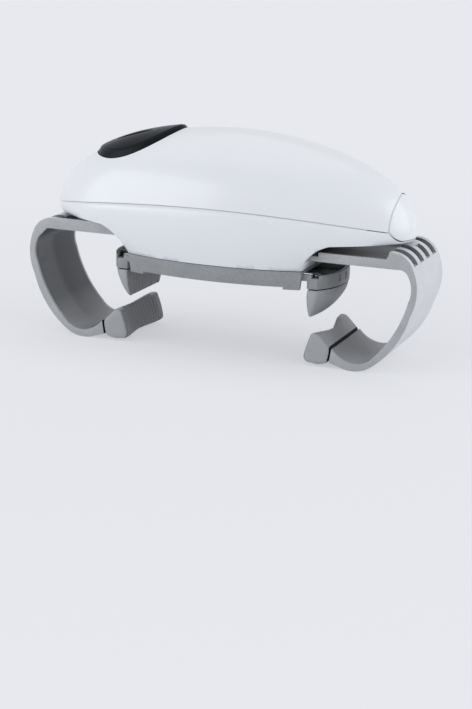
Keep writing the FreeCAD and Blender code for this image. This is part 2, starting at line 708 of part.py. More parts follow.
# ---- battery bay ---------------------------------------------------------
def battery_cells():
    """Two AA cells side by side, the second one turned round."""
    cells = []
    for side, nub_first in ((1, True), (-1, False)):
        y = side * (CELL_RADIUS + 0.05)
        can = Part.makeCylinder(CELL_RADIUS, CELL_LENGTH, Vector(CELL_X, y, CELL_Z), Vector(1, 0, 0))
        can = can.makeFillet(0.6, can.Edges[0:1] + can.Edges[2:3])
        nub_x = CELL_X - CELL_NUB if nub_first else CELL_X + CELL_LENGTH - 0.5
        nub = Part.makeCylinder(2.6, CELL_NUB + 0.5, Vector(nub_x, y, CELL_Z), Vector(1, 0, 0))
        cells.append(can.fuse(nub))
    return Part.Compound(cells)


def battery_contacts():
    """Two metal plates on the bay wall."""
    plates = []
    for side in (1, -1):
        across = sorted((side * 1.5, side * 12.5))
        plates.append(box((CELL_X - 1.6, CELL_X - 1.2), across, (CELL_Z - 6, CELL_Z + 5)))
    return Part.Compound(plates)


def battery_door():
    """End cap of the bay, with a plug rim and two ribs behind the link plate."""
    far = CELL_X + CELL_LENGTH
    skin = body_form(0).cut(body_form(DOOR_WALL)).common(door_plug(0, far + 0.6, FAR))
    rim = door_plug(0, far + 0.9, FAR).cut(door_plug(-1.3, far, FAR + 1)).common(body_form(DOOR_WALL / 2))
    pieces = [skin, rim]
    for side in (1, -1):
        rib = box((far + 1.9, FAR), sorted((side * 5.0, side * 6.4)), (CELL_Z - 6, CELL_Z + 5))
        pieces.append(rib.common(body_form(DOOR_WALL / 2)))
    return joined(pieces)


def door_link_plate():
    """Plate on the door that joins the two cells."""
    far = CELL_X + CELL_LENGTH
    width, height = LINK_PLATE
    return box((far + 1.5, far + 1.9), (-width / 2, width / 2), (CELL_Z - 0.55 * height, CELL_Z + 0.45 * height))


# ---- jar arms ------------------------------------------------------------
INNER_BOW = [             # arcs of the bow's inner face, from the pad seam up: start, through, end
    ((59.9, -28.0), (64.5, -31.9), (70.5, -33.8)),
    ((70.5, -33.8), (76.2, -32.8), (80.8, -29.0)),
    ((80.8, -29.0), (90.2, -16.2), (95.9, -1.6)),
    ((95.9, -1.6), (96.9, 5.6), (95.3, 10.5)),
]
GUTTER_END = (96.7, 5.2)  # through point and end of the trough's last arc
GUTTER_TOP = (96.1, 8.7)
SEAM_FOOT = (58.8, -34.6) # outer end of the pad seam on the arm


def arm_bow(low_z):
    """Bow of the right arm, from the rack plate round to the pad seam."""
    top = low_z + RACK_THICK
    steps = [
        (82.0, top),
        ((84.4, top + 1.9), (86.0, 20.9)),
        ((93.2, 19.2), (97.5, 13.9)),
        ((BAND_OUT_X, 3.2), (97.2, -8.0)),
        ((89.6, -24.2), (79.2, -34.5)),
        ((73.2, -37.0), (67.1, -37.1)),
        SEAM_FOOT,
        INNER_BOW[0][0],
    ]
    steps += [(through, end) for start, through, end in INNER_BOW]
    steps.append(((93.2, 12.7), (89.9, low_z)))
    return slab("XZ", (48.0, low_z), [(48.0, top)] + steps, -ARM_HALF_WIDTH, ARM_HALF_WIDTH)


def arc_centre(first, through, last):
    """Centre of the circle through three points of a plane."""
    (ax, az), (bx, bz), (cx, cz) = first, through, last
    scale = 2 * (ax * (bz - cz) + bx * (cz - az) + cx * (az - bz))
    a, b, c = ax * ax + az * az, bx * bx + bz * bz, cx * cx + cz * cz
    return ((a * (bz - cz) + b * (cz - az) + c * (az - bz)) / scale,
            (a * (cx - bx) + b * (ax - cx) + c * (bx - ax)) / scale)


def gutter_part(first, through, last):
    """Hollow of the trough along one arc: a wedge turned about the centre of the arc."""
    centre = arc_centre(first, through, last)
    radius = math.dist(centre, first)
    width = ARM_HALF_WIDTH - RIM
    corners = [(radius + GUTTER, 0), (radius, width), (radius - 1.0, width), (radius - 1.0, -width)]
    wedge = Part.Face(outline("XY", (radius, -width), corners))
    start = math.degrees(math.atan2(first[1] - centre[1], first[0] - centre[0]))
    end = math.degrees(math.atan2(last[1] - centre[1], last[0] - centre[0]))
    wedge.rotate(Vector(0, 0, 0), Vector(0, 1, 0), -start)
    solid = wedge.revolve(Vector(0, 0, 0), Vector(0, -1, 0), end - start)
    solid.translate(Vector(centre[0], 0, centre[1]))
    return solid


def arm_gutter():
    """Trough along the inner face of the bow, deepest in the middle, between thin rims."""
    arcs = INNER_BOW[:-1] + [(INNER_BOW[-1][0], GUTTER_END, GUTTER_TOP)]
    return [gutter_part(*arc) for arc in arcs]


def arm_vents(low_z):
    """Row of slots over the shoulder of the bow, open toward the housing."""
    cuts = []
    half = (VENT_PITCH - VENT_RIB) / 2
    floor = low_z + RACK_THICK + 1.0
    for index in range(VENTS):
        y = VENT_PITCH * (index - (VENTS - 1) / 2)
        steps = [(83.0, 30.0), (104.0, 30.0), (104.0, 14.6), (94.6, 14.6), ((91.6, 16.4), (88.0, floor))]
        cuts.append(slab("XZ", (83.0, floor), steps, y - half, y + half))
    return cuts


def tongue_rims(low_z, top):
    """Raised rims along both edges of the rack plate outside the housing."""
    rims = []
    for side in (1, -1):
        low, high = sorted((side * (ARM_HALF_WIDTH - RIM), side * ARM_HALF_WIDTH))
        rims.append(box((TONGUE_START, 85.0), (low, high), (low_z, top)).common(arch_space(-2 * LOOSE)))
    return rims


def rack_plate(low_z):
    """Plate with the toothed slot that the arm pinion runs in."""
    inner_end = -(ARM_PITCH + MODULE + 1.0 + 4.0)
    plate = box((inner_end, 60.0), (-RACK_HALF_WIDTH, RACK_HALF_WIDTH), (low_z, low_z + RACK_THICK))
    shoulder = box((ARM_PITCH + 9.0, 60.0), (-ARM_HALF_WIDTH, ARM_HALF_WIDTH), (low_z, low_z + RACK_THICK))
    plate = joined([plate, shoulder])
    start = -(ARM_PITCH + MODULE + 1.0)
    end = ARM_TRAVEL + ARM_PITCH + MODULE + 1.0
    root = ARM_PITCH + 1.25 * MODULE
    plain = -(ARM_PITCH + MODULE + 0.5)
    teeth = rack_edge(start, end, ARM_PITCH, 1)
    points = [(end, plain), (end, root)] + list(reversed(teeth)) + [(start, root)]
    slot = slab("XY", (start, plain), points, low_z - 1, low_z + RACK_THICK + 1)
    return plate.cut(slot)


def jar_arm(low_z, rim_top):
    arm = joined([arm_bow(low_z), rack_plate(low_z)] + tongue_rims(low_z, rim_top))
    for cut in arm_gutter() + arm_vents(low_z):
        arm = arm.cut(cut)
    return arm


PAD_FACE = ((45.8, -31.6), (49.3, -21.9))            # straight gripping face, bottom and top
PAD_HOLLOW_RADIUS = 54.0
PAD_CORNER = 3.0
PAD_RIBS = 13
PAD_RIB_PITCH = 2.8


def arm_pad():
    """Rubber pad of the right arm: its face is hollowed to the jar and finely ribbed."""
    foot, crest = PAD_FACE
    seam_top = (INNER_BOW[0][0][0] - PAD_SEAM, INNER_BOW[0][0][1])
    seam_foot = (SEAM_FOOT[0] - PAD_SEAM, SEAM_FOOT[1] + 0.1)
    section = [seam_foot, ((54.0, -35.9), (49.6, -35.6)), ((46.4, -34.6), foot), crest, ((50.4, -20.6), (52.4, -21.2))]
    pad = slab("XZ", seam_top, section, -ARM_HALF_WIDTH, ARM_HALF_WIDTH)
    corners = slab("XY", (FAR, -ARM_HALF_WIDTH), pad_corner_steps(), -FAR, 0)
    pad = pad.common(corners).cut(pad_hollow(PAD_HOLLOW_RADIUS, 0))
    for index in range(PAD_RIBS):
        across = PAD_RIB_PITCH * (index - (PAD_RIBS - 1) / 2)
        pad = pad.cut(pad_hollow(0.5, across))
    neck = [(seam_foot[0] - 1, seam_foot[1] + 1.4), (SEAM_FOOT[0] + 0.2, SEAM_FOOT[1] + 1.4),
            (INNER_BOW[0][0][0] - 0.4, INNER_BOW[0][0][1] - 1.4)]
    inner = ARM_HALF_WIDTH - 1.5
    return pad.fuse(slab("XZ", (seam_top[0] - 1, seam_top[1] - 1.4), neck, -inner, inner))


def pad_corner_steps():
    """Rest of the pad's plan: its two corners toward the jar are rounded."""
    side = ARM_HALF_WIDTH
    round_in = side - PAD_CORNER
    near = PAD_FACE[0][0] - 0.5
    middle = PAD_CORNER * (1 - math.sqrt(0.5))
    return [(near + PAD_CORNER, -side), ((near + middle, middle - side), (near, -round_in)), (near, round_in),
            ((near + middle, side - middle), (near + PAD_CORNER, side)), (FAR, side)]


def pad_hollow(radius, across):
    """Round bar that lies along the gripping face, across millimetres from its middle."""
    (foot_x, foot_z), (crest_x, crest_z) = PAD_FACE
    lean = math.atan2(crest_x - foot_x, crest_z - foot_z)
    chord = math.sqrt(PAD_HOLLOW_RADIUS ** 2 - ARM_HALF_WIDTH ** 2)
    depth = math.sqrt(PAD_HOLLOW_RADIUS ** 2 - across ** 2) - chord
    back = chord if radius == PAD_HOLLOW_RADIUS else -depth
    axis = Vector(math.sin(lean), 0, math.cos(lean))
    base = Vector(foot_x - back * math.cos(lean), across, foot_z + back * math.sin(lean)) - axis * 60
    return Part.makeCylinder(radius, 120, base, axis)


# ---- turntable pieces ----------------------------------------------------
def table_outline(z, draft):
    """Outline of the turntable bar: straight ends, bowed long sides."""
    end = TABLE_HALF_LENGTH - draft
    wide = TABLE_HALF_WIDTH - draft
    corner = TABLE_END_WIDTH - draft
    steps = [((0, -wide), (end, -corner)), (end, corner), ((0, wide), (-end, corner))]
    wire = outline("XY", (-end, -corner), steps)
    wire.translate(Vector(0, 0, z))
    return wire


def lid_carrier():
    """Turntable bar: skin on top, two long rails, hub through the floor of the housing."""
    bar = Part.makeLoft([table_outline(TABLE_TOP_Z, 0), table_outline(-TABLE_LIP, TABLE_DRAFT)], True, True)
    centre = box((-36.0, 36.0), (-FAR, FAR), (-FAR, 0))
    bar = bar.cut(centre)
    room = box((-FAR, FAR), (-CHANNEL_HALF_WIDTH, CHANNEL_HALF_WIDTH), (-FAR, TABLE_TOP_Z - TABLE_SKIN))
    bar = bar.cut(room)
    groove = CHANNEL_HALF_WIDTH + WING
    bar = bar.cut(box((-FAR, FAR), (-groove, groove), (WING_Z[0] - LOOSE, WING_Z[1] + LOOSE)))
    seat_half = BRIDGE_HALF_WIDTH + LOOSE
    seat_reach = BRIDGE_HALF_LENGTH + LOOSE
    seat = box((-seat_reach, seat_reach), (-seat_half, seat_half), (-FAR, PAD_THICK + BRIDGE_THICK))
    bar = bar.cut(seat)
    hub = rod(0, 0, TABLE_TOP_Z - 0.1, RING_Z, HUB_RADIUS)
    bar = joined([bar, hub])
    bar = bar.cut(rod(0, 0, -FAR, FAR, SHAFT_RADIUS + LOOSE))
    for x, y in ring_screw_places():
        bar = bar.cut(rod(x, y, TABLE_TOP_Z, FAR, SCREW_RADIUS))
    for x, y in bridge_screw_places():
        bar = bar.cut(rod(x, y, 0, TABLE_TOP_Z - 1.0, SCREW_RADIUS))
    return bar


def ring_screw_places():
    return [polar(8.0, math.radians(90 + 120 * index)) for index in range(3)]


def bridge_screw_places():
    return [(x, side * BRIDGE_SCREW_Y) for x in (-13.0, 13.0) for side in (-1, 1)]


def carrier_ring():
    """Ring on the hub that hangs the turntable in the housing."""
    ring = tube(0, 0, RING_Z, RING_Z + RING_THICK, RING_RADIUS, SHAFT_RADIUS + LOOSE)
    for x, y in ring_screw_places():
        ring = ring.cut(rod(x, y, 0, FAR, SCREW_RADIUS + 0.1))
        ring = ring.cut(rod(x, y, RING_Z + 0.6, FAR, HEAD_RADIUS + 0.1))
    return ring


def ring_screws():
    head_low = RING_Z + 0.6
    screws = []
    for x, y in ring_screw_places():
        head = rod(x, y, head_low, head_low + 0.9, HEAD_RADIUS)
        screws.append(head.fuse(rod(x, y, head_low - 3.0, head_low, SCREW_RADIUS)))
    return Part.Compound(screws)


def carrier_bridge():
    """Plate across the jaw channel that carries the lid pad and the pinion's lower bearing."""
    low = PAD_THICK
    along = (-BRIDGE_HALF_LENGTH, BRIDGE_HALF_LENGTH)
    plate = box(along, (-BRIDGE_HALF_WIDTH, BRIDGE_HALF_WIDTH), (low, low + BRIDGE_THICK))
    plate = plate.cut(rod(0, 0, 0, FAR, 2.0 + RUNNING_GAP))
    for x, y in bridge_screw_places():
        plate = plate.cut(rod(x, y, 0, FAR, SCREW_RADIUS + 0.1))
    return plate


def bridge_screws():
    return Part.Compound([screw(x, y, PAD_THICK, 4.6) for x, y in bridge_screw_places()])


def lid_pad():
    """Ribbed rubber disc that presses on the middle of the lid."""
    pad = rod(0, 0, 0, PAD_THICK, 15.5)
    for radius in (4.0, 8.0, 12.0):
        pad = pad.cut(tube(0, 0, -1, 0.5, radius + 0.6, radius - 0.6))
    return pad


def lid_pinion():
    """Pinion between the two jaw racks, on the shaft that comes down from the gearbox."""
    low = PAD_THICK + BRIDGE_THICK + LOOSE
    gear = spur(LID_TEETH, math.radians(90.0), low, JAW_TOP_Z)
    shaft = rod(0, 0, JAW_TOP_Z - 0.1, CLUTCH_Z, SHAFT_RADIUS)
    journal = rod(0, 0, PAD_THICK, low + 0.1, 2.0)
    return joined([gear, shaft, journal])


def jaw_outline(reach, half_width, side_reach):
    """D-shaped plan of a jaw: straight face, short sides, bowed outer wall."""
    face = JAW_FACE_X
    bend = (face + 0.80 * reach, 0.62 * half_width)
    crown = (face + reach, 0)
    side = (face + side_reach, half_width)
    return (face, -half_width), [
        (side[0], -half_width),
        ((bend[0], -bend[1]), crown),
        (bend, side),
        (face, half_width),
    ]


def jaw_slider():
    """Right slider: tray with the screws' deck outside the turntable, guides and rack inside it."""
    floor_low, floor_high = JAW_FLOOR_Z
    start, steps = jaw_outline(JAW_DEPTH, JAW_HALF_WIDTH, 5.2)
    block = slab("XY", start, steps, floor_low, JAW_TOP_Z)
    start, steps = jaw_outline(JAW_DEPTH - JAW_WALL, JAW_HALF_WIDTH - JAW_WALL, 4.6)
    hollow = slab("XY", start, steps, floor_high, JAW_TOP_Z + 1)
    block = block.cut(hollow.cut(box((-FAR, JAW_DECK[1]), (-FAR, FAR), (-FAR, JAW_DECK_TOP))))
    inside = JAW_HALF_WIDTH - JAW_WALL
    block = block.cut(box((JAW_FACE_X - 1, JAW_FACE_X + 1.5), (-inside, inside), (JAW_DECK_TOP, FAR)))
    block = block.cut(box((JAW_FACE_X - 1, JAW_FACE_X + 5.6), (-FAR, FAR), (JAW_SIDE_Z, FAR)))
    windows, pitch = JAW_WINDOWS
    for index in range(windows):
        y = pitch * (index - (windows - 1) / 2)
        block = block.cut(box((JAW_FACE_X + 8.0, FAR), (y - 0.9, y + 0.9), (1.6, 5.0)))
    low = PAD_THICK + BRIDGE_THICK + LOOSE
    across = (0.1 - JAW_HALF_WIDTH, JAW_HALF_WIDTH - 0.1)
    plate = box((JAW_DECK[0], JAW_FACE_X + 1), across, (low, JAW_DECK_TOP))
    other_rack = (-LID_PITCH - RACK_BACK - LOOSE, LOOSE + MODULE - LID_PITCH)
    way = box((-FAR, JAW_DECK[1] + 0.1), other_rack, (low - LOOSE, FAR))
    pieces = [block.cut(way), plate.cut(way)]
    for side in (1, -1):
        guide = sorted((side * (JAW_HALF_WIDTH - JAW_WALL), side * JAW_HALF_WIDTH))
        wing = sorted((side * (JAW_HALF_WIDTH - 0.1), side * (JAW_HALF_WIDTH + WING)))
        pieces.append(box((JAW_GUIDE_X, JAW_FACE_X + 2), guide, (low, JAW_TOP_Z)))
        pieces.append(box((JAW_GUIDE_X, JAW_FACE_X - 3), wing, WING_Z))
    pieces.append(jaw_rack())
    pieces.append(box((JAW_FACE_X + 0.2, JAW_FACE_X + 9.0), (7.4, 9.4), (floor_high - 0.1, JAW_TOP_Z - 1)))
    slider = joined(pieces)
    for x, y in jaw_screw_places():
        slider = slider.cut(rod(x, y, -FAR, JAW_DECK_TOP + 0.1, SCREW_RADIUS + 0.1))
    return slider


def jaw_rack():
    back = LID_PITCH + RACK_BACK
    first = -RACK_TAIL
    last = JAW_FACE_X - 4.0
    teeth = rack_edge(first, last, LID_PITCH, 1)
    root = LID_PITCH + 1.25 * MODULE
    points = [(first, root)] + teeth + [(last, root), (JAW_FACE_X + 9.0, root), (JAW_FACE_X + 9.0, back)]
    return slab("XY", (first, back), points, PAD_THICK + BRIDGE_THICK + LOOSE, JAW_TOP_Z)


def jaw_screw_places():
    return [(JAW_FACE_X + 2.6, y) for y in (-JAW_SCREW_Y, JAW_SCREW_Y)]


def jaw_screws():
    length = JAW_DECK_TOP - JAW_FLOOR_Z[1] + 6.0
    return Part.Compound([down_screw(x, y, JAW_DECK_TOP, length) for x, y in jaw_screw_places()])


def jaw_tip():
    """Rubber claw under the slider, tapering down, with upright grooves on its face."""
    top = JAW_FLOOR_Z[0] - JAW_SEAM
    wires = []
    for z, reach, half_width in ((top, JAW_DEPTH - 0.2, JAW_HALF_WIDTH - 0.1),
                                 (-8.5, JAW_DEPTH - 4.2, JAW_HALF_WIDTH - 1.0),
                                 (JAW_TIP_Z, JAW_DEPTH - 10.2, JAW_HALF_WIDTH - 4.0)):
        start, steps = jaw_outline(reach, half_width, 0.38 * reach)
        wire = outline("XY", start, steps)
        wire.translate(Vector(0, 0, z))
        wires.append(wire)
    tip = Part.makeLoft(wires, True)
    for index in range(-6, 7):
        tip = tip.cut(rod(JAW_FACE_X - 0.3, index * 2.3, JAW_TIP_Z - 1, 0, 0.75))
    neck = box((JAW_FACE_X + 2.0, JAW_FACE_X + 8.0), (-9.0, 9.0), (top - 0.5, JAW_FLOOR_Z[0]))
    tip = tip.fuse(neck)
    for x, y in jaw_screw_places():
        tip = tip.cut(rod(x, y, JAW_FLOOR_Z[1] - 6.2, 0, SCREW_RADIUS))
    return tip


# ---- assembly ------------------------------------------------------------
def main():
    os.makedirs("parts", exist_ok=True)
    pieces = {
        "top_shell": top_shell(),
        "bottom_shell": bottom_shell(),
        "hub_bush": hub_bush(),
        "shell_screws": shell_screws(),
        "gearbox_base": gearbox_base(),
        "gearbox_deck": gearbox_deck(),
        "gearbox_screws": gearbox_screws(),
        "worm_gearbox": worm_gearbox(),
        "motor_can": motor_can(),
        "planet_carrier": planet_carrier(),
        "planet_pins": planet_pins(),
        "arm_gear": arm_gear(),
        "sun_gear": sun_gear(),
        "motor_pinion": motor_pinion(),
        "switch_bridge": switch_bridge(),
        "switch_board": switch_board(),
        "tact_switch": tact_switch(),
        "power_button": power_button(),
        "button_spring": button_spring(),
        "battery_cells": battery_cells(),
        "battery_contacts": battery_contacts(),
        "battery_door": battery_door(),
        "door_link_plate": door_link_plate(),
        "lid_carrier": lid_carrier(),
        "carrier_ring": carrier_ring(),
        "ring_screws": ring_screws(),
        "carrier_bridge": carrier_bridge(),
        "bridge_screws": bridge_screws(),
        "lid_pad": lid_pad(),
        "lid_pinion": lid_pinion(),
        "jar_arm_right": jar_arm(RACK_RIGHT_Z, TONGUE_RIM_Z[0]),
        "jar_arm_left": turned(jar_arm(RACK_LEFT_Z, TONGUE_RIM_Z[1])),
    }
    for index in range(PLANETS):
        pieces["planet_gear_%d" % (index + 1)] = planet_gear(index)
    for name, piece in (("arm_pad", arm_pad()), ("jaw_slider", jaw_slider()),
                        ("jaw_tip", jaw_tip()), ("jaw_screws", jaw_screws())):
        pieces[name + "_right"] = piece
        pieces[name + "_left"] = turned(piece)
    for name, shape in pieces.items():
        save(name, shape)


main()
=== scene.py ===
"""Looks of the electric jar opener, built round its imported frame.

Metres. The origin is the centre of the lid seat, +Z up, X along the housing, the front at -Y.
"""
import json
import math

import bmesh
import bpy
from mathutils import Matrix, Vector

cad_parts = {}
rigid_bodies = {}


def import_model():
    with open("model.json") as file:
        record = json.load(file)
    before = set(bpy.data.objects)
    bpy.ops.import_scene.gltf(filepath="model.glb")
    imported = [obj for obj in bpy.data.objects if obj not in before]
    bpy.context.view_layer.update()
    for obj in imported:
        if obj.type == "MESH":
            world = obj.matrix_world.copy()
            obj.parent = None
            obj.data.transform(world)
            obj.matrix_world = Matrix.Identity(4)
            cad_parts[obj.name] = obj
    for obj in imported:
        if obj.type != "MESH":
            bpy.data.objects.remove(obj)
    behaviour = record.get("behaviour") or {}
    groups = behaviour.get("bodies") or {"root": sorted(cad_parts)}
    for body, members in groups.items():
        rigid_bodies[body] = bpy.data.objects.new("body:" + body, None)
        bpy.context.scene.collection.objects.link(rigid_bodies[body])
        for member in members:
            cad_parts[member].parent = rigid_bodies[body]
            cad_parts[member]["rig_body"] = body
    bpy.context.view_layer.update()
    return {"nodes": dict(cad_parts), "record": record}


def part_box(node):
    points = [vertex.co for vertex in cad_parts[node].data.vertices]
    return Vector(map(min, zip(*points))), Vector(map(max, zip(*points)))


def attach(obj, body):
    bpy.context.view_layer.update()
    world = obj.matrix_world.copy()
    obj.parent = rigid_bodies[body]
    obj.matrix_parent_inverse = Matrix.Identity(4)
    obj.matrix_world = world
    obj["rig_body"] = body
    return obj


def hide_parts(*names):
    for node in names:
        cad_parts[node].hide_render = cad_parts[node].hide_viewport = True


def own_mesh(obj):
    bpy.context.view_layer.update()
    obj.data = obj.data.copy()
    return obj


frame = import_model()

MM = 0.001

# ---- sizes that the looks share with the frame -----------------------------
BODY_AXIS_Z = 26.0 * MM   # height of the housing's long axis
BODY_LEFT = 92.5 * MM     # reach of the housing's skin to its left tip and to its right tip
BODY_RIGHT = 92.0 * MM
BODY_RISE = 42.8 * MM     # of the housing's top over its axis
BODY_SQUASH = 0.79        # width over height of the housing's sections
TIP_SWELL = (0.2, 10)     # the right tip is fuller by this share, which grows with this power
BELLY_TAPER = (0.313, 44.5 * MM)   # the underside rises by this share over this length
PARTING_LOW_Z = 26.5 * MM          # the parting line stays above this
DOOR_START = 74.0 * MM    # the battery door lies beyond this along X

BUTTON_X = -48.0 * MM
BUTTON_HALF_LENGTH = 22.7 * MM
BUTTON_HALF_WIDTH = 17.9 * MM
GROOVE_SPOT = (-49.7 * MM, -5.3 * MM)
GROOVE_HALF = (10.2 * MM, 1.5 * MM)
GROOVE_DEPTH = 0.9        # in mm
STEM_RADIUS = 2.2 * MM
STEM_GAP = 1.4 * MM       # between the button's stem and the switch

ARM_RIM = 20.1 * MM       # half-width of the trough between the rims of an arm
CREASE_WIDTH = 2.6 * MM   # the trough's halves meet in a soft crease, this wide each way
RIB_PITCH = 1.4 * MM      # of the fine ribs on the rubber
FLOOR_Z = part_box("jar_arm_right")[0].z


# ---- shader arithmetic -----------------------------------------------------
class Wire:
    """A shader socket that takes part in Python arithmetic."""

    def __init__(self, finish, socket):
        self.finish = finish
        self.socket = socket

    def math(self, operation, *others):
        return self.finish.node("ShaderNodeMath", {"operation": operation}, self, *others)

    def __add__(self, other):
        return self.math("ADD", other)

    def __mul__(self, other):
        return self.math("MULTIPLY", other)

    def __sub__(self, other):
        return self.math("SUBTRACT", other)

    def clamped(self, low=0.0, high=1.0):
        return self.math("MAXIMUM", low).math("MINIMUM", high)


class Finish:
    """A procedural material. Keyword values are set on the shader's own sockets."""

    def __init__(self, name, **constants):
        self.material = bpy.data.materials.new(name)
        self.material.use_nodes = True
        self.nodes = self.material.node_tree.nodes
        self.links = self.material.node_tree.links
        self.shader = self.nodes["Principled BSDF"]
        for socket, value in constants.items():
            self.shader.inputs[socket.replace("_", " ")].default_value = value
        self.place = self.node("ShaderNodeTexCoord", {}, output="Object")

    def feed(self, socket, value):
        if isinstance(value, Wire):
            self.links.new(value.socket, socket)
        elif value is not None:
            socket.default_value = value

    def node(self, kind, settings, *values, output=0, **named):
        """A new node: its settings first, then its sockets by order and by name."""
        made = self.nodes.new(kind)
        for setting, value in settings.items():
            setattr(made, setting, value)
        for socket, value in zip(made.inputs, values):
            self.feed(socket, value)
        for name, value in named.items():
            self.feed(made.inputs[name.replace("_", " ")], value)
        return Wire(self, made.outputs[output])

    def noise(self, scale, detail=2.0, roughness=0.5, place=None):
        return self.node("ShaderNodeTexNoise", {}, Vector=place or self.place, Scale=scale,
                         Detail=detail, Roughness=roughness)

    def painted(self, name):
        """Value that the mesh carries at its corners under this name, 0 where it has none."""
        return self.node("ShaderNodeAttribute", {"attribute_name": name}, output=2)

    def mixed(self, amount, first, second):
        made = self.node("ShaderNodeMix", {"data_type": "RGBA"}, output=2)
        sockets = made.socket.node.inputs
        for socket, value in zip((sockets[0], sockets[6], sockets[7]), (amount, first, second)):
            self.feed(socket, value)
        return made

    def surface(self, **sockets):
        for name, value in sockets.items():
            self.feed(self.shader.inputs[name.replace("_", " ")], value)
        return self.material

    def bump(self, height, depth):
        """Normal of a relief whose full height is depth metres."""
        return self.node("ShaderNodeBump", {}, Strength=1.0, Distance=depth, Height=height)


def shade(grey, tint=(1.0, 1.0, 1.0)):
    return tuple(grey * part for part in tint) + (1.0,)


COOL = (0.985, 1.0, 1.02)     # tints over grey
INKY = (0.8, 1.0, 1.35)
SLATE = (0.88, 1.0, 1.06)


def white_shell():
    """Glossy white moulding with the faint waviness of a polished tool, and painted shade, near
    black, down in its seams.
    """
    finish = Finish("white_shell", IOR=1.5, Coat_Roughness=0.08)
    broad = finish.noise(38.0)
    fine = finish.noise(900.0, 3.0)
    colour = finish.mixed(broad, shade(0.80, COOL), shade(0.83, COOL))
    # painted shade: the lip behind the parting line and the edge of the door's opening are painted
    # near black
    colour = finish.mixed(finish.painted("seam"), colour, shade(0.03, COOL))
    relief = finish.bump(broad * 0.7 + fine * 0.05, 0.00006)
    return finish.surface(Base_Color=colour, Roughness=fine * 0.05 + 0.27,
                          Coat_Weight=broad * 0.1 + 0.22, Normal=relief)


def black_button():
    """Satin black plastic with a fine spark-eroded grain, polished in the thumb groove."""
    finish = Finish("black_button", IOR=1.45, Specular_IOR_Level=0.14,
                    Specular_Tint=(0.9, 0.96, 1.0, 1.0))
    grain = finish.noise(2600.0, 3.0)
    smear = finish.noise(60.0)
    colour = finish.mixed(smear, shade(0.004, INKY), shade(0.007, INKY))
    # painted shade: the crease between the band and the crown is painted darker
    colour = finish.mixed(finish.painted("seam"), colour, shade(0.001))
    roughness = smear * 0.08 + 0.27 - finish.painted("inner") * 0.2
    relief = finish.bump(grain, 0.00002)
    return finish.surface(Base_Color=colour, Roughness=roughness, Normal=relief)


def grey_moulding(name, low, high, roughness, inner=None):
    """Satin silver-grey plastic with tiny specks and a fine tool grain.

    Where the piece is painted "inner" it gets painted shade, a darker grey, in the troughs and
    trays;
    where it is painted "outer" it gets a painted sheen, a lighter grey; and its seams get painted
    shade, almost black.
    """
    finish = Finish(name, IOR=1.5, Specular_IOR_Level=0.55)
    specks = finish.noise(1300.0, 3.0)
    clouds = finish.noise(120.0, 3.0)
    grain = finish.noise(1500.0, 4.0)
    amount = (specks * 2.4 + clouds * 1.2 - 1.3).clamped()
    colour = finish.mixed(amount, shade(low, COOL), shade(high, COOL))
    # painted sheen: the outer face of a bow is painted a lighter grey for the light it catches at a
    # grazing view, flecked by the specks
    painted_sheen = finish.painted("outer") * (amount * 0.35 + 0.65)
    colour = finish.mixed(painted_sheen, colour, shade(0.66, COOL))
    if inner is not None:
        # painted shade: where painted "inner", a darker grey stands in for the shade in the
        # hollows, on the rack plate, in the slots and in the trays
        dark = finish.mixed(amount, shade(0.75 * inner, SLATE), shade(inner, SLATE))
        colour = finish.mixed(finish.painted("inner"), colour, dark)
        # painted shade: an arm's end at its pad, and part of the rack plate, painted almost black
        colour = finish.mixed(finish.painted("seam"), colour, shade(0.008, COOL))
    return finish.surface(Base_Color=colour, Roughness=clouds * 0.1 + roughness,
                          Normal=finish.bump(grain, 0.00006))


def grey_rubber():
    """Moulded rubber, a little dusty, with fine upright ribs over its gripping face, which has
    painted shade.
    """
    finish = Finish("grey_rubber", IOR=1.45, Sheen_Weight=0.04, Sheen_Roughness=0.5)
    dust = finish.noise(90.0, 4.0)
    grain = finish.noise(1900.0, 3.0)
    colour = finish.mixed(dust, shade(0.34, COOL), shade(0.42, COOL))
    grip = finish.painted("inner")
    across = finish.node("ShaderNodeSeparateXYZ", {}, finish.place, output=1)
    ribs = (across * (2 * math.pi / RIB_PITCH)).math("SINE") * 0.5 + 0.5
    # painted shade: the gripping face, which looks toward the jar, is painted darker, in stripes
    # that follow the ribs
    shaded_colour = finish.mixed(grip * (ribs * 0.35 + 0.45), colour, shade(0.12, COOL))
    # painted shade where a pad meets its arm and on a claw's top under its tray, almost black
    shaded_colour = finish.mixed(finish.painted("seam"), shaded_colour, shade(0.002, COOL))
    relief = finish.bump(grain * 0.25 + grip * ribs, 0.00028)
    roughness = dust * 0.12 + 0.4 + finish.painted("seam") * 0.45
    return finish.surface(Base_Color=shaded_colour, Roughness=roughness, Normal=relief)


def bright_screw():
    """Plated steel with the rub marks of a driver."""
    finish = Finish("bright_screw", Metallic=1.0)
    rub = finish.noise(700.0, 2.0)
    return finish.surface(Base_Color=finish.mixed(rub, shade(0.62), shade(0.78)),
                          Roughness=rub * 0.15 + 0.12)


def plain_plastic(name, colour, roughness):
    """Moulded plastic of the parts inside the housing."""
    finish = Finish(name, IOR=1.46)
    cloud = finish.noise(200.0, 3.0)
    darker = tuple(0.82 * part for part in colour) + (1.0,)
    return finish.surface(Base_Color=finish.mixed(cloud, darker, tuple(colour) + (1.0,)),
                          Roughness=cloud * 0.1 + roughness, Normal=finish.bump(cloud, 0.00005))


def brushed_can():
    """Steel brushed along X."""
    finish = Finish("brushed_can", Metallic=1.0)
    stretched = finish.node("ShaderNodeMapping", {}, Vector=finish.place,
                            Scale=(40.0, 3000.0, 3000.0))
    lines = finish.noise(1.0, 2.0, place=stretched)
    return finish.surface(Base_Color=finish.mixed(lines, shade(0.5), shade(0.68)),
                          Roughness=lines * 0.2 + 0.25)


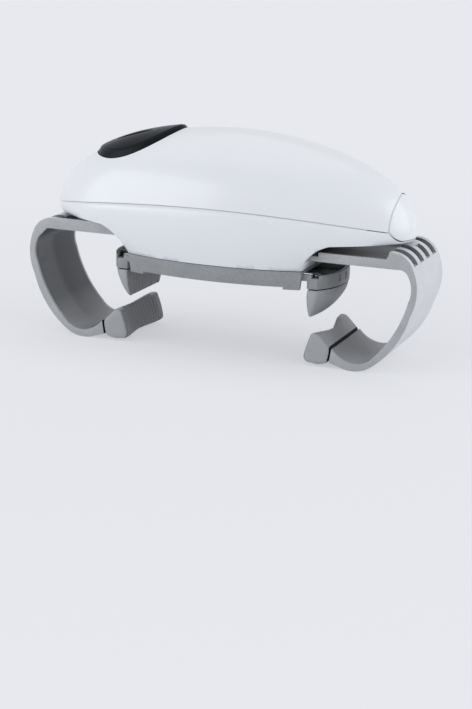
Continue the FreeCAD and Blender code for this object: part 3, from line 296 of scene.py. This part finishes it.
FINISHES = {
    "white_gloss": white_shell(),
    "black_satin": black_button(),
    # inner sets the darker grey of the painted shade in the arms' hollows and the jaws' trays
    "silver_grey": grey_moulding("silver_grey", 0.36, 0.46, 0.32, inner=0.062),
    "table_grey": grey_moulding("table_grey", 0.25, 0.32, 0.38, inner=0.09),
    "grey_rubber": grey_rubber(),
    "bright_steel": bright_screw(),
    "motor_steel": brushed_can(),
    "cell_sleeve": plain_plastic("cell_sleeve", (0.09, 0.1, 0.12), 0.3),
    "board_green": plain_plastic("board_green", (0.03, 0.16, 0.07), 0.4),
    "acetal": plain_plastic("acetal", (0.78, 0.77, 0.72), 0.35),
    "dark_plastic": plain_plastic("dark_plastic", (0.04, 0.04, 0.045), 0.5),
}
SLOT_OF = {part["node"]: part["material_slot"] for part in frame["record"]["subparts"]}


# ---- pieces ----------------------------------------------------------------
def piece(form, name, node, sharp=30.0, finish=None):
    """Object of a bmesh that takes the place of a node of the frame, on its body and in its slot.

    It has the finish of that slot unless another is named.
    """
    slot = SLOT_OF[node]
    mesh = bpy.data.meshes.new(name)
    form.to_mesh(mesh)
    form.free()
    for face in mesh.polygons:
        face.use_smooth = True
    mesh.set_sharp_from_angle(angle=math.radians(sharp))
    made = bpy.data.objects.new(name, mesh)
    bpy.context.scene.collection.objects.link(made)
    made.data.materials.append(FINISHES[finish or slot])
    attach(made, frame["nodes"][node]["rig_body"])
    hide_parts(node)
    return made


def merged(node):
    """Copy of a node of the frame with its triangles joined at their corners."""
    form = bmesh.new()
    form.from_mesh(frame["nodes"][node].data)
    bmesh.ops.remove_doubles(form, verts=form.verts, dist=0.002 * MM)
    return form


def painted(form, paints):
    """Give the mesh its paints: each is a function of a face and a corner's place, from 0 to 1."""
    form.normal_update()
    for name, paint in paints.items():
        layer = form.loops.layers.float.new(name)
        for face in form.faces:
            for corner in face.loops:
                corner[layer] = paint(face, corner.vert.co)


def round_edges(form, size, chosen=None, sharp=38.0, segments=3):
    """Round the edges that bend more than sharp degrees, where chosen says so of their middles."""
    edges = []
    for edge in form.edges:
        if len(edge.link_faces) == 2 and edge.calc_face_angle() > math.radians(sharp):
            if chosen is None or chosen((edge.verts[0].co + edge.verts[1].co) / 2):
                edges.append(edge)
    bmesh.ops.bevel(form, geom=edges, offset=size, offset_type="OFFSET", segments=segments,
                    profile=0.5, affect="EDGES", clamp_overlap=True, material=-1)


def tidied(form):
    """Join what lies in one plane."""
    bmesh.ops.dissolve_limit(form, angle_limit=math.radians(0.4), use_dissolve_boundaries=False,
                             verts=form.verts, edges=form.edges)


def rounded(node, name, radius, finish=None, paints=None):
    """Node whose sharp edges are rounded over as a mould leaves them."""
    form = merged(node)
    tidied(form)
    round_edges(form, radius)
    painted(form, paints or {})
    return piece(form, name, node, finish=finish)


def smooth(node, name, paints=None):
    """Node shown with its curved faces smooth."""
    form = merged(node)
    painted(form, paints or {})
    return piece(form, name, node)


def blank_object(name, form):
    mesh = bpy.data.meshes.new(name)
    form.to_mesh(mesh)
    form.free()
    made = bpy.data.objects.new(name, mesh)
    bpy.context.scene.collection.objects.link(made)
    return made


def evaluated(blank):
    """Bmesh of an object with its modifiers; the object itself is removed."""
    form = bmesh.new()
    form.from_object(blank, bpy.context.evaluated_depsgraph_get())
    bpy.data.objects.remove(blank)
    return form


def moulded_rubber(node, name, voxel, softness, paints, lobes=(), crest=None, swell=None):
    """Rubber node whose edges are softened all round, as rubber leaves its mould.

    Lobes are balls that plump up its corners: their places and radius. What rises over the crest
    is pressed down to a third. Swell gives how far a spot is pushed out.
    """
    form = merged(node)
    for place, radius in lobes:
        ball = bmesh.ops.create_icosphere(form, subdivisions=3, radius=radius)
        bmesh.ops.translate(form, verts=ball["verts"], vec=place)
    blank = blank_object(name + "_blank", form)
    remesh = blank.modifiers.new("even", "REMESH")
    remesh.mode = "VOXEL"
    remesh.voxel_size = voxel
    form = evaluated(blank)
    for vert in form.verts:
        if crest is not None and vert.co.z > crest:
            vert.co.z = crest + (vert.co.z - crest) / 3
    for _ in range(softness):
        bmesh.ops.smooth_vert(form, verts=form.verts, factor=0.5,
                              use_axis_x=True, use_axis_y=True, use_axis_z=True)
    if swell:
        form.normal_update()
        for vert in form.verts:
            vert.co += vert.normal * swell(vert.co)
    painted(form, paints)
    return piece(form, name, node, sharp=180.0)


# ---- housing ---------------------------------------------------------------
# Section of the button's cap: share of the oval, and height over the housing's skin in mm.
CAP_INSIDE = [(0.05, -0.4), (0.5, -0.4), (0.9, -0.4), (0.9, -4.1)]
CAP_FLANGE = [(1.075, -4.1), (1.075, -2.8), (1.0, -2.8)]
CAP_BAND = [(1.0, -0.1), (0.995, 0.15), (0.985, 0.36), (0.965, 0.85), (0.945, 1.3), (0.933, 1.55)]
CAP_CREASE = [(0.925, 1.6), (0.917, 1.48), (0.905, 1.44), (0.897, 1.58), (0.889, 1.7), (0.87, 1.78)]
CREASE_SHARES = (0.897, 0.925)   # the crease gets painted shade between these shares of the oval
CROWN_START = 0.87            # share and height where the crown begins
CROWN_FOOT = 1.78
CROWN_RISE = 0.12             # from there to its middle
CROWN_STEPS = 52
CROWN_LOW = 1.7               # the groove is cut into what lies above this
CAP_SIDES = 168


def skin_height(x, y):
    """Height of the housing's skin over the button's end, where its sections are half ellipses."""
    crest = BODY_RISE * math.sqrt(1 - (x / BODY_LEFT) ** 2)
    return BODY_AXIS_Z + crest * math.sqrt(max(0.0, 1 - (y / (BODY_SQUASH * crest)) ** 2))


def across_groove(x, y):
    """How far a spot lies from the middle of the thumb groove; 1 is the groove's edge."""
    return math.hypot((x - GROOVE_SPOT[0]) / GROOVE_HALF[0], (y - GROOVE_SPOT[1]) / GROOVE_HALF[1])


def in_groove(face, spot):
    """1 in the thumb groove and just round it."""
    return float(across_groove(spot.x, spot.y) < 1.1)


def in_crease(face, spot):
    """1 on the faces of the crease between the button's band and its crown, which get painted
    shade.
    """
    middle = face.calc_center_median()
    share = math.hypot((middle.x - BUTTON_X) / BUTTON_HALF_LENGTH, middle.y / BUTTON_HALF_WIDTH)
    return float(CREASE_SHARES[0] < share < CREASE_SHARES[1])


def depth_in_skin(spot):
    """How far a point lies inside the housing's outer skin, roughly, in millimetres."""
    reach = BODY_LEFT if spot.x < 0 else BODY_RIGHT
    crest = BODY_RISE * math.sqrt(max(0.02, 1 - (spot.x / reach) ** 2))
    if spot.x > 0:
        crest *= 1 + TIP_SWELL[0] * (spot.x / reach) ** TIP_SWELL[1]
    height = crest
    if spot.z <= BODY_AXIS_Z:
        height = crest / (1 + BELLY_TAPER[0] * (spot.x / BELLY_TAPER[1]) ** 2)
    share = math.hypot(spot.y / (BODY_SQUASH * crest), (spot.z - BODY_AXIS_Z) / height)
    return (1 - share) * min(BODY_SQUASH * crest, height) / MM


def in_shell_seam(face, spot):
    """1 on the lip behind the parting line and on the edge of the battery door's opening, which get
    painted shade.
    """
    middle = face.calc_center_median()
    depth = depth_in_skin(middle)
    sideways = face.normal.dot(Vector((0, middle.y, 0)).normalized())
    lip = 1.2 < depth < 3.2 and middle.z > PARTING_LOW_Z and sideways > 0.3
    edge = middle.x > DOOR_START and 0.3 < depth < 3.0 and abs(face.normal.x) < 0.2
    return float(lip or edge)


def cap_profile():
    """The whole section, from inside the cap's middle to the middle of its crown."""
    crown = [(CROWN_START * (1 - step / CROWN_STEPS), CROWN_FOOT + CROWN_RISE * step / CROWN_STEPS)
             for step in range(1, CROWN_STEPS)]
    return CAP_INSIDE + CAP_FLANGE + CAP_BAND + CAP_CREASE + crown


def button_cap():
    """Oval cap: hollow, with a stem, a steep band, a crease, and a crown with a thumb groove."""
    profile = cap_profile()
    form = bmesh.new()
    bmesh.ops.create_circle(form, cap_ends=True, segments=CAP_SIDES, radius=profile[0][0])
    bmesh.ops.scale(form, verts=form.verts, vec=(BUTTON_HALF_LENGTH, BUTTON_HALF_WIDTH, 1.0))
    bmesh.ops.reverse_faces(form, faces=form.faces)
    height_of = {vert: profile[0][1] for vert in form.verts}
    rim = list(form.edges)
    for (before, _), (share, height) in zip(profile, profile[1:]):
        grown = bmesh.ops.extrude_edge_only(form, edges=rim)["geom"]
        ring = [part for part in grown if isinstance(part, bmesh.types.BMVert)]
        rim = [part for part in grown if isinstance(part, bmesh.types.BMEdge)]
        bmesh.ops.scale(form, verts=ring, vec=(share / before, share / before, 1.0))
        for vert in ring:
            height_of[vert] = height
    bmesh.ops.edgeloop_fill(form, edges=rim)
    for vert, height in height_of.items():
        x, y = vert.co.x + BUTTON_X, vert.co.y
        if height > CROWN_LOW:
            height -= GROOVE_DEPTH * max(0.0, 1 - across_groove(x, y) ** 2.5)
        vert.co = (x, y, skin_height(x, y) + height * MM)
    add_stem(form)
    bmesh.ops.recalc_face_normals(form, faces=form.faces)
    painted(form, {"inner": in_groove, "seam": in_crease})
    return piece(form, "oval_button", "power_button")


def add_stem(form):
    """The button's stem, from under its crown to just over the switch."""
    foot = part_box("tact_switch")[1].z + STEM_GAP
    top = skin_height(BUTTON_X, 0)
    stem = bmesh.ops.create_cone(form, cap_ends=True, segments=32,
                                 radius1=STEM_RADIUS, radius2=STEM_RADIUS, depth=top - foot)
    bmesh.ops.translate(form, verts=stem["verts"], vec=(BUTTON_X, 0, (top + foot) / 2))


def press_spring():
    """The button's spring, shown smooth on a mesh of its own."""
    spring = smooth("button_spring", "press_spring")
    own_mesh(spring)


def dress_housing():
    smooth("top_shell", "upper_shell", {"seam": in_shell_seam})
    smooth("bottom_shell", "lower_shell", {"seam": in_shell_seam})
    smooth("battery_door", "end_door")
    button_cap()
    press_spring()


# ---- jar arms, in millimetres in the plane of the right one ----------------
SHOULDER = ((86.0, 20.9), (93.2, 19.2), (97.5, 13.9))     # arc over the shoulder of a bow
PLATE_END_X = 82.0            # the rack plate turns up into the shoulder here
PLATE_TOP_Z = 9.5             # the rack plate's upper face lies above this
SHOULDER_START_X = 84.0       # faces up to here count as the rack plate's
HOUSED_X = 46.0               # what lies inside this is hidden in the housing
SLOT_END_Z = 14.6
SLOT_SIDE = 19.2              # the slots lie between these, either side of the middle
SLOT_STARTS = (-18.0, -7.9, 2.2, 12.3)
SLOT_WIDTH = 5.7
POCKET_START_X = 92.0         # the third slot is a short pocket
SLOT_FLOOR_RISE = 1.0         # of the slots' floor over the rack plate
BOW_MIDDLE = (76.0, -4.0)
BOW_TOP_Z = 14.0              # the hollow side of a bow lies below this
BOW_FOOT = ((59.9, -28.0), (64.5, -31.9), (70.5, -33.8))  # arc of the hollow side next to the pad
ARM_TOE = (58.8, -34.6)       # outer end of an arm, under the lip of its hollow side
BOW_JOINTS = (BOW_FOOT[2], (80.8, -29.0), (95.9, -1.6))   # where the arcs of the hollow side meet
JOINT_REACH = 2.6             # a fin lies this close to its joint
PAD_TOP_Z = -27.0             # the seam between an arm and its pad lies below this
SEAM_LINE = ((59.4, -28.0), (58.3, -34.6))                # middle of that seam
SEAM_REACH = 0.95             # the seam's faces lie this close to its middle
SEAM_SIDE = 21.4              # and between these along Y

PAD_LOBES = ((51.8, -24.6), (51.2, -26.6), (50.5, -28.6), (49.9, -30.6))   # in a pad's horn
LOBE_SIDE = 18.3
LOBE_RADIUS = 3.1
PAD_CREST_Z = -22.2
PAD_SWELL = 0.3
GRIP_END_X = 54.0             # no gripping face lies beyond this


def hub_of(first, through, last):
    """Centre and radius of the circle through three points of a plane."""
    (ax, az), (bx, bz), (cx, cz) = first, through, last
    scale = 2 * (ax * (bz - cz) + bx * (cz - az) + cx * (az - bz))
    a, b, c = ax * ax + az * az, bx * bx + bz * bz, cx * cx + cz * cz
    x = (a * (bz - cz) + b * (cz - az) + c * (az - bz)) / scale
    z = (a * (cx - bx) + b * (ax - cx) + c * (bx - ax)) / scale
    return (x, z), math.dist((x, z), first)


FOOT_HUB, FOOT_RADIUS = hub_of(*BOW_FOOT)
RIDGE, RIDGE_RADIUS = hub_of(*SHOULDER)


def arc(first, through, last, steps=14):
    """Points of the arc through three points of a plane."""
    (x, z), radius = hub_of(first, through, last)
    (ax, az), (cx, cz) = first, last
    begin, end = math.atan2(az - z, ax - x), math.atan2(cz - z, cx - x)
    turn = (end - begin + math.pi) % (2 * math.pi) - math.pi
    angles = [begin + turn * step / steps for step in range(steps + 1)]
    return [(x + radius * math.cos(angle), z + radius * math.sin(angle)) for angle in angles]


def prism(outline, low, high):
    """Closed form of an outline in XZ, from low to high along Y."""
    form = bmesh.new()
    face = form.faces.new([form.verts.new((x * MM, low * MM, z * MM)) for x, z in outline])
    grown = bmesh.ops.extrude_face_region(form, geom=[face])["geom"]
    far = [part for part in grown if isinstance(part, bmesh.types.BMVert)]
    bmesh.ops.translate(form, verts=far, vec=(0, (high - low) * MM, 0))
    bmesh.ops.recalc_face_normals(form, faces=form.faces)
    return form


def turned(form, side):
    """The left arm is the right one turned half round."""
    if side == "left":
        half_round = Matrix.Rotation(math.pi, 3, "Z")
        bmesh.ops.rotate(form, verts=form.verts, cent=(0, 0, 0), matrix=half_round)
    return form


def slot_floor(side):
    """Height of the floor of the slots."""
    corners = [vert.co for vert in frame["nodes"]["jar_arm_" + side].data.vertices]
    return max(spot.z for spot in corners if abs(spot.x) < 40 * MM) / MM + SLOT_FLOOR_RISE


def shoulder_ribs(side):
    """The ribs between the slots, and the block that makes the third slot a pocket."""
    floor = slot_floor(side)
    rise = arc((PLATE_END_X, floor - 1.0), (84.4, floor + 0.9), SHOULDER[0])
    rise = [spot for spot in rise if spot[1] > floor - 0.3]
    over = arc(*SHOULDER)[1:]
    foot = [(96.2, SLOT_END_Z - 1.0), (94.6, SLOT_END_Z - 0.3), (91.3, 16.0), (87.9, floor - 0.4)]
    whole = [(x - 0.03, z - 0.03) for x, z in rise + over] + foot
    block = [spot for spot in whole if spot[0] < POCKET_START_X]
    edges = [-SLOT_SIDE - 0.1]
    for start in SLOT_STARTS:
        edges += [start, start + SLOT_WIDTH]
    edges.append(SLOT_SIDE + 0.1)
    ribs = []
    for low, high in zip(edges[0::2], edges[1::2]):
        rib = prism(whole, low, high)
        round_edges(rib, 0.3 * MM)
        ribs.append(turned(rib, side))
    pocket = SLOT_STARTS[2]
    ribs.append(turned(prism(block, pocket - 0.5, pocket + SLOT_WIDTH + 0.5), side))
    return ribs


def opened_shoulder(side):
    """The arm with its row of slots cut into one opening, which the ribs then divide."""
    floor = slot_floor(side) - 0.05
    start, end, half = PLATE_END_X + 0.8, SLOT_END_Z - 0.05, SLOT_SIDE + 0.05
    outline = [(start, floor), (start, 30.0), (104.0, 30.0), (104.0, end)]
    outline += arc((94.6, end), (91.57, 16.35), (88.0, floor), 10)
    cutter = blank_object("opening_" + side, turned(prism(outline, -half, half), side))
    blank = blank_object("arm_blank_" + side, merged("jar_arm_" + side))
    cut = blank.modifiers.new("opening", "BOOLEAN")
    cut.operation = "DIFFERENCE"
    cut.solver = "EXACT"
    cut.object = cutter
    form = evaluated(blank)
    bpy.data.objects.remove(cutter)
    bmesh.ops.remove_doubles(form, verts=form.verts, dist=0.001 * MM)
    return form


def add_form(form, extra):
    """Put one bmesh into another."""
    mesh = bpy.data.meshes.new("extra")
    extra.to_mesh(mesh)
    extra.free()
    form.from_mesh(mesh)
    bpy.data.meshes.remove(mesh)


def from_middle(face):
    """Way out from the middle of the bow at a face, and the face's middle, in mm."""
    middle = face.calc_center_median() / MM
    hub = Vector((math.copysign(BOW_MIDDLE[0], middle.x), middle.y, BOW_MIDDLE[1]))
    return (middle - hub).normalized(), middle


def hollow_side(face):
    """Whether a face belongs to the hollow side of a bow."""
    outward, middle = from_middle(face)
    return middle.z < BOW_TOP_Z and face.normal.dot(outward) < -0.25


def on_plate_top(face):
    """Whether a face belongs to the upper side of the rack plate."""
    middle = face.calc_center_median() / MM
    above = middle.z > PLATE_TOP_Z and face.normal.z > 0.5
    return abs(middle.x) < SHOULDER_START_X and above


def in_trough(face, spot):
    """Share of painted shade, a darker grey where shade falls.

    It covers the hollow of a bow, where it fades toward the foot, the rack plate's top and the
    slots, where it fades down their length.
    """
    middle = face.calc_center_median() / MM
    if abs(middle.y) > ARM_RIM / MM or abs(middle.x) < 50.0:
        return 0.0
    if hollow_side(face):
        return min(0.97, max(0.3, (spot.z / MM + 40.0) / 20.0))
    if abs(middle.x) < SHOULDER_START_X:
        return float(on_plate_top(face))
    inside = math.dist((abs(middle.x), middle.z), RIDGE) <= RIDGE_RADIUS - 0.5
    beyond = middle.z < BOW_TOP_Z or abs(middle.y) > SLOT_SIDE + 0.2
    wall = abs(face.normal.y) > 0.7 or (inside and not beyond)
    fade = min(0.95, max(0.3, 0.95 - 0.052 * (abs(spot.x) / MM - 85.5)))
    return fade * float(wall and middle.z > SLOT_END_Z - 0.6)


def on_outside(face, spot):
    """1 on the outer face of a bow, which gets a painted sheen, a lighter grey."""
    outward, middle = from_middle(face)
    side = abs(face.normal.y) < 0.5
    return float(abs(middle.x) > 66.0 and face.normal.dot(outward) > 0.5 and side)


def beside_seam(face, way):
    """1 on the faces where arm and pad meet that look outward, or inward if way is -1: these get
    painted shade.
    """
    middle = face.calc_center_median() / MM
    (top_x, top_z), (foot_x, foot_z) = SEAM_LINE
    line_x = foot_x + (top_x - foot_x) * (middle.z - foot_z) / (top_z - foot_z)
    near = abs(abs(middle.x) - line_x) < SEAM_REACH
    below = middle.z < PAD_TOP_Z and abs(middle.y) < SEAM_SIDE
    return float(near and below and way * math.copysign(1.0, middle.x) * face.normal.x > 0.5)


# painted shade: a pad's face where it meets the arm, painted near black
def in_pad_seam(face, spot):
    return beside_seam(face, 1)


def in_arm_seam(face, spot):
    """Painted shade where arm and pad meet: 1 on an arm's end at its pad, and part of that on the
    rack plate, which lies in shade.
    """
    return max(0.45 * float(on_plate_top(face)), beside_seam(face, -1))


def on_grip(face, spot):
    """Share of the gripping face of a pad or claw: it looks toward the jar, carries the ribs, and
    gets painted shade.
    """
    toward = -math.copysign(1.0, spot.x) * face.normal.x
    return min(1.0, max(0.0, (toward - 0.35) / 0.3)) * float(abs(spot.x) < GRIP_END_X * MM)


def close_joints(form):
    """Take away the thin fins across the trough where one arc of the bow passes into the next."""
    form.normal_update()
    for joint in BOW_JOINTS:
        fins = []
        for face in form.faces:
            outward, middle = from_middle(face)
            close = math.dist((abs(middle.x), middle.z), joint) < JOINT_REACH
            level = abs(face.normal.y) < 0.2 and abs(face.normal.dot(outward)) < 0.35
            if close and level and abs(middle.y) * MM < ARM_RIM:
                fins.append(face)
        bmesh.ops.delete(form, geom=fins, context="FACES")
        near = [vert for vert in form.verts if abs(vert.co.y) < 19.0 * MM
                and math.dist((abs(vert.co.x) / MM, vert.co.z / MM), joint) < JOINT_REACH]
        bmesh.ops.remove_doubles(form, verts=near, dist=0.1 * MM)


def fade_trough(form):
    """Let the trough run out toward the pad, so that the arm's end is straight there."""
    hub, lip = Vector(FOOT_HUB), Vector(BOW_FOOT[0])
    along_end = (Vector(ARM_TOE) - lip).normalized()
    for vert in form.verts:
        spot = Vector((abs(vert.co.x) / MM, vert.co.z / MM))
        depth = (spot - hub).length - FOOT_RADIUS
        at_foot = 59.0 < spot.x < 69.5 and spot.y < PAD_TOP_Z
        if not (at_foot and 0.02 < depth < 2.2 and abs(vert.co.y) < ARM_RIM):
            continue
        share = max(0.12, (spot.x - 59.5) / 10.0)
        at_end = abs((spot - lip).cross(along_end)) < 0.2
        if at_end and (spot - lip).length < 3.0:
            spot = lip + along_end * depth * share
        elif not at_end:
            spot = hub + (spot - hub).normalized() * (FOOT_RADIUS + depth * share)
        vert.co = (math.copysign(spot.x * MM, vert.co.x), vert.co.y, spot.y * MM)


def split_trough(form, across):
    """Cut the faces on the hollow side of a bow along a line, so that shade can change there."""
    form.normal_update()
    hollow = [face for face in form.faces
              if abs(face.calc_center_median().x) > 56.0 * MM and hollow_side(face)]
    edges = {edge for face in hollow for edge in face.edges}
    verts = {vert for face in hollow for vert in face.verts}
    bmesh.ops.bisect_plane(form, geom=list(verts) + list(edges) + hollow, dist=0.001 * MM,
                           plane_co=(0, across, 0), plane_no=(0, 1, 0))


def on_shoulder_corner(spot):
    """The edge where the rack plate's rise meets the shoulder."""
    crest_x, crest_z = SHOULDER[0]
    return math.hypot(abs(spot.x) - crest_x * MM, spot.z - crest_z * MM) < 0.5 * MM


def outside_housing(spot):
    """Edges that get the small rounding.

    These are all but those inside the housing, round the slots and at the trough's top.
    """
    x, y, z = abs(spot.x) / MM, abs(spot.y) / MM, spot.z / MM
    slots = x > PLATE_END_X and y < SLOT_SIDE + 0.2 and z > SLOT_END_Z - 0.5
    trough_top = x > 93.0 and 18.0 < y < 20.8 and 3.0 < z < 12.0
    return x > HOUSED_X and not slots and not trough_top


def jar_arm(side):
    """Arm with its ribs and slots, its edges rounded and a soft crease along its trough."""
    form = opened_shoulder(side)
    close_joints(form)
    fade_trough(form)
    tidied(form)
    for across in (-ARM_RIM, -CREASE_WIDTH, CREASE_WIDTH, ARM_RIM):
        split_trough(form, across)
    round_edges(form, 1.4 * MM, on_shoulder_corner, segments=8)
    round_edges(form, 0.45 * MM, outside_housing)
    for rib in shoulder_ribs(side):
        add_form(form, rib)
    # painted shade in the hollow, on the rack plate, in the slots and where the arm meets its pad,
    # and a painted sheen on the outer face
    painted(form, {"inner": in_trough, "outer": on_outside, "seam": in_arm_seam})
    piece(form, side + "_jar_arm", "jar_arm_" + side)


def arm_pad(side):
    """Pad whose two corners toward the jar are plumped up into round horns."""
    way = -1 if side == "left" else 1
    lobes = [((way * x * MM, across * LOBE_SIDE * MM, z * MM), LOBE_RADIUS * MM)
             for across in (-1, 1) for x, z in PAD_LOBES]
    moulded_rubber("arm_pad_" + side, side + "_arm_pad", 0.4 * MM, 16,
                   {"inner": on_grip, "seam": in_pad_seam}, lobes=lobes,
                   crest=PAD_CREST_Z * MM, swell=lambda spot: PAD_SWELL * MM)


def dress_arms():
    for side in ("left", "right"):
        jar_arm(side)
        arm_pad(side)


# ---- turntable, in millimetres ---------------------------------------------
TRAY_MIDDLE_X = 47.0          # a jaw's tray is half an oval beyond this
TRAY_HALF = (9.8, 19.0)
TRAY_SIDE = 18.7              # inner face of the tray's walls
TRAY_FLOOR_Z = 0.5
CLAW_TOP_Z = -1.5             # a claw starts to swell here, and swells fully 3 mm further down
CLAW_SWELL = 0.35


def in_tray(face, spot):
    """Share of painted shade, a darker grey, inside a jaw's tray and on its deck."""
    middle = face.calc_center_median() / MM
    beyond = abs(middle.x) - TRAY_MIDDLE_X
    oval = beyond ** 2 / TRAY_HALF[0] ** 2 + (middle.y / TRAY_HALF[1]) ** 2 < 1.0
    return float((oval or beyond < 0) and middle.z > TRAY_FLOOR_Z and abs(middle.y) < TRAY_SIDE)


def on_claw_top(face, spot):
    """1 on the face of a claw under its tray, which gets painted shade and shows as a dark line."""
    return float(face.normal.z > 0.7)


def below_tray(spot):
    """How far a claw's skin swells: not at all under its tray, and most toward its tip."""
    return CLAW_SWELL * MM * min(1.0, max(0.0, (CLAW_TOP_Z * MM - spot.z) / (3.0 * MM)))


def dress_turntable():
    rounded("lid_carrier", "turntable_bar", 0.4 * MM, finish="table_grey")
    rounded("carrier_bridge", "pad_plate", 0.2 * MM)
    rounded("lid_pad", "seat_pad", 0.2 * MM)
    for side in ("left", "right"):
        # the inside of each tray and its deck get painted shade
        rounded("jaw_slider_" + side, side + "_jaw_slider", 0.3 * MM, finish="table_grey",
                paints={"inner": in_tray})
        moulded_rubber("jaw_tip_" + side, side + "_jaw_tip", 0.36 * MM, 20,
                       {"inner": on_grip, "seam": on_claw_top}, swell=below_tray)


def dress_nodes():
    """Nodes whose own shape shows: they get their finish."""
    for name, node in frame["nodes"].items():
        node.data.materials.clear()
        node.data.materials.append(FINISHES[SLOT_OF[name]])


# ---- stage, light and camera -----------------------------------------------
BACKDROP = (0.806, 0.815, 0.855)
AMBIENT = 0.51
FLOOR_FADE = (0.08, 0.45)     # the floor turns into the backdrop from here to here
FLOOR_VEIL = 0.6              # share of the backdrop near the object
FLOOR_RADIUS = 9.0
PAPER_TINT = (0.99, 1.0, 1.03)


def seen_directly(nodes, links):
    """1 for camera, mirror and glass rays, 0 for the rays that light the object."""
    path = nodes.new("ShaderNodeLightPath")
    either = nodes.new("ShaderNodeMath")
    either.operation = "MAXIMUM"
    links.new(path.outputs["Is Camera Ray"], either.inputs[0])
    links.new(path.outputs["Is Glossy Ray"], either.inputs[1])
    most = nodes.new("ShaderNodeMath")
    most.operation = "MAXIMUM"
    links.new(either.outputs[0], most.inputs[0])
    links.new(path.outputs["Is Transmission Ray"], most.inputs[1])
    return most.outputs[0]


def make_world():
    world = bpy.data.worlds.new("studio")
    world.use_nodes = True
    nodes = world.node_tree.nodes
    links = world.node_tree.links
    ambient = nodes["Background"]
    ambient.inputs["Color"].default_value = (0.93, 0.96, 1.0, 1.0)
    ambient.inputs["Strength"].default_value = AMBIENT
    shown = nodes.new("ShaderNodeBackground")
    shown.inputs["Color"].default_value = BACKDROP + (1.0,)
    mix = nodes.new("ShaderNodeMixShader")
    links.new(seen_directly(nodes, links), mix.inputs[0])
    links.new(ambient.outputs[0], mix.inputs[1])
    links.new(shown.outputs[0], mix.inputs[2])
    links.new(mix.outputs[0], nodes["World Output"].inputs[0])
    bpy.context.scene.world = world


def make_floor():
    """Wide sheet under the arms, which is stage and no part of the object."""
    form = bmesh.new()
    bmesh.ops.create_circle(form, cap_ends=True, segments=96, radius=FLOOR_RADIUS)
    bmesh.ops.translate(form, verts=form.verts, vec=(0, 0, FLOOR_Z))
    mesh = bpy.data.meshes.new("floor")
    form.to_mesh(mesh)
    form.free()
    floor = bpy.data.objects.new("floor", mesh)
    bpy.context.scene.collection.objects.link(floor)
    floor.data.materials.append(floor_paper())


def floor_paper():
    """Pale paper that keeps the shadow near the object and looks like the backdrop far from it."""
    paper = Finish("floor_paper", Roughness=0.9, IOR=1.3)
    cloud = paper.noise(3.0)
    paper.surface(Base_Color=paper.mixed(cloud, shade(0.86, PAPER_TINT), shade(0.88, PAPER_TINT)))
    length = paper.node("ShaderNodeVectorMath", {"operation": "LENGTH"}, paper.place, output=1)
    far = paper.node("ShaderNodeMapRange", {"interpolation_type": "SMOOTHSTEP"},
                     length, *FLOOR_FADE, FLOOR_VEIL, 1.0)
    shown = paper.node("ShaderNodeEmission", {}, BACKDROP + (1.0,), 1.0)
    seen = Wire(paper, seen_directly(paper.nodes, paper.links))
    lit = Wire(paper, paper.shader.outputs[0])
    mix = paper.node("ShaderNodeMixShader", {}, far * seen, lit, shown)
    paper.links.new(mix.socket, paper.nodes["Material Output"].inputs[0])
    return paper.material


def softbox(name, place, aim, size, power, colour=(1.0, 1.0, 1.0)):
    """Rectangular light that looks at a spot."""
    light = bpy.data.lights.new(name, "AREA")
    light.shape = "RECTANGLE"
    light.size, light.size_y = size
    light.energy = power
    light.color = colour
    lamp = bpy.data.objects.new(name, light)
    bpy.context.scene.collection.objects.link(lamp)
    lamp.location = place
    lamp.rotation_euler = (Vector(aim) - Vector(place)).to_track_quat("-Z", "Y").to_euler()


def make_lights():
    middle = (0.0, 0.0, 0.02)
    softbox("overhead", (-0.25, 0.1, 1.1), middle, (1.3, 1.0), 2.2)
    softbox("left_front", (-1.05, -0.95, 0.4), middle, (1.3, 1.1), 9.4, (0.96, 0.98, 1.0))
    softbox("right_side", (1.15, 0.0, 0.5), middle, (1.1, 1.1), 7.4, (0.95, 0.97, 1.0))


CAMERA_PLACE = Vector((295.2, -721.2, 175.3)) * MM
LOOK_AZIMUTH = math.radians(22.04)
LOOK_DOWN = math.radians(15.67)
LOOK_ROLL = math.radians(1.16)
LENS = 83.03              # on a 36 mm film held upright


def make_camera():
    film = bpy.data.cameras.new("camera")
    film.lens = LENS
    film.clip_end = 30.0
    camera = bpy.data.objects.new("camera", film)
    bpy.context.scene.collection.objects.link(camera)
    turn = Matrix.Rotation(LOOK_AZIMUTH, 4, "Z") @ Matrix.Rotation(math.pi / 2 - LOOK_DOWN, 4, "X")
    roll = Matrix.Rotation(LOOK_ROLL, 4, "Z")
    camera.matrix_world = Matrix.Translation(CAMERA_PLACE) @ turn @ roll
    bpy.context.scene.camera = camera


def main():
    bpy.context.scene.view_settings.view_transform = "Standard"
    dress_nodes()
    dress_housing()
    dress_arms()
    dress_turntable()
    make_world()
    make_floor()
    make_lights()
    make_camera()


main()
bpy.context.view_layer.update()
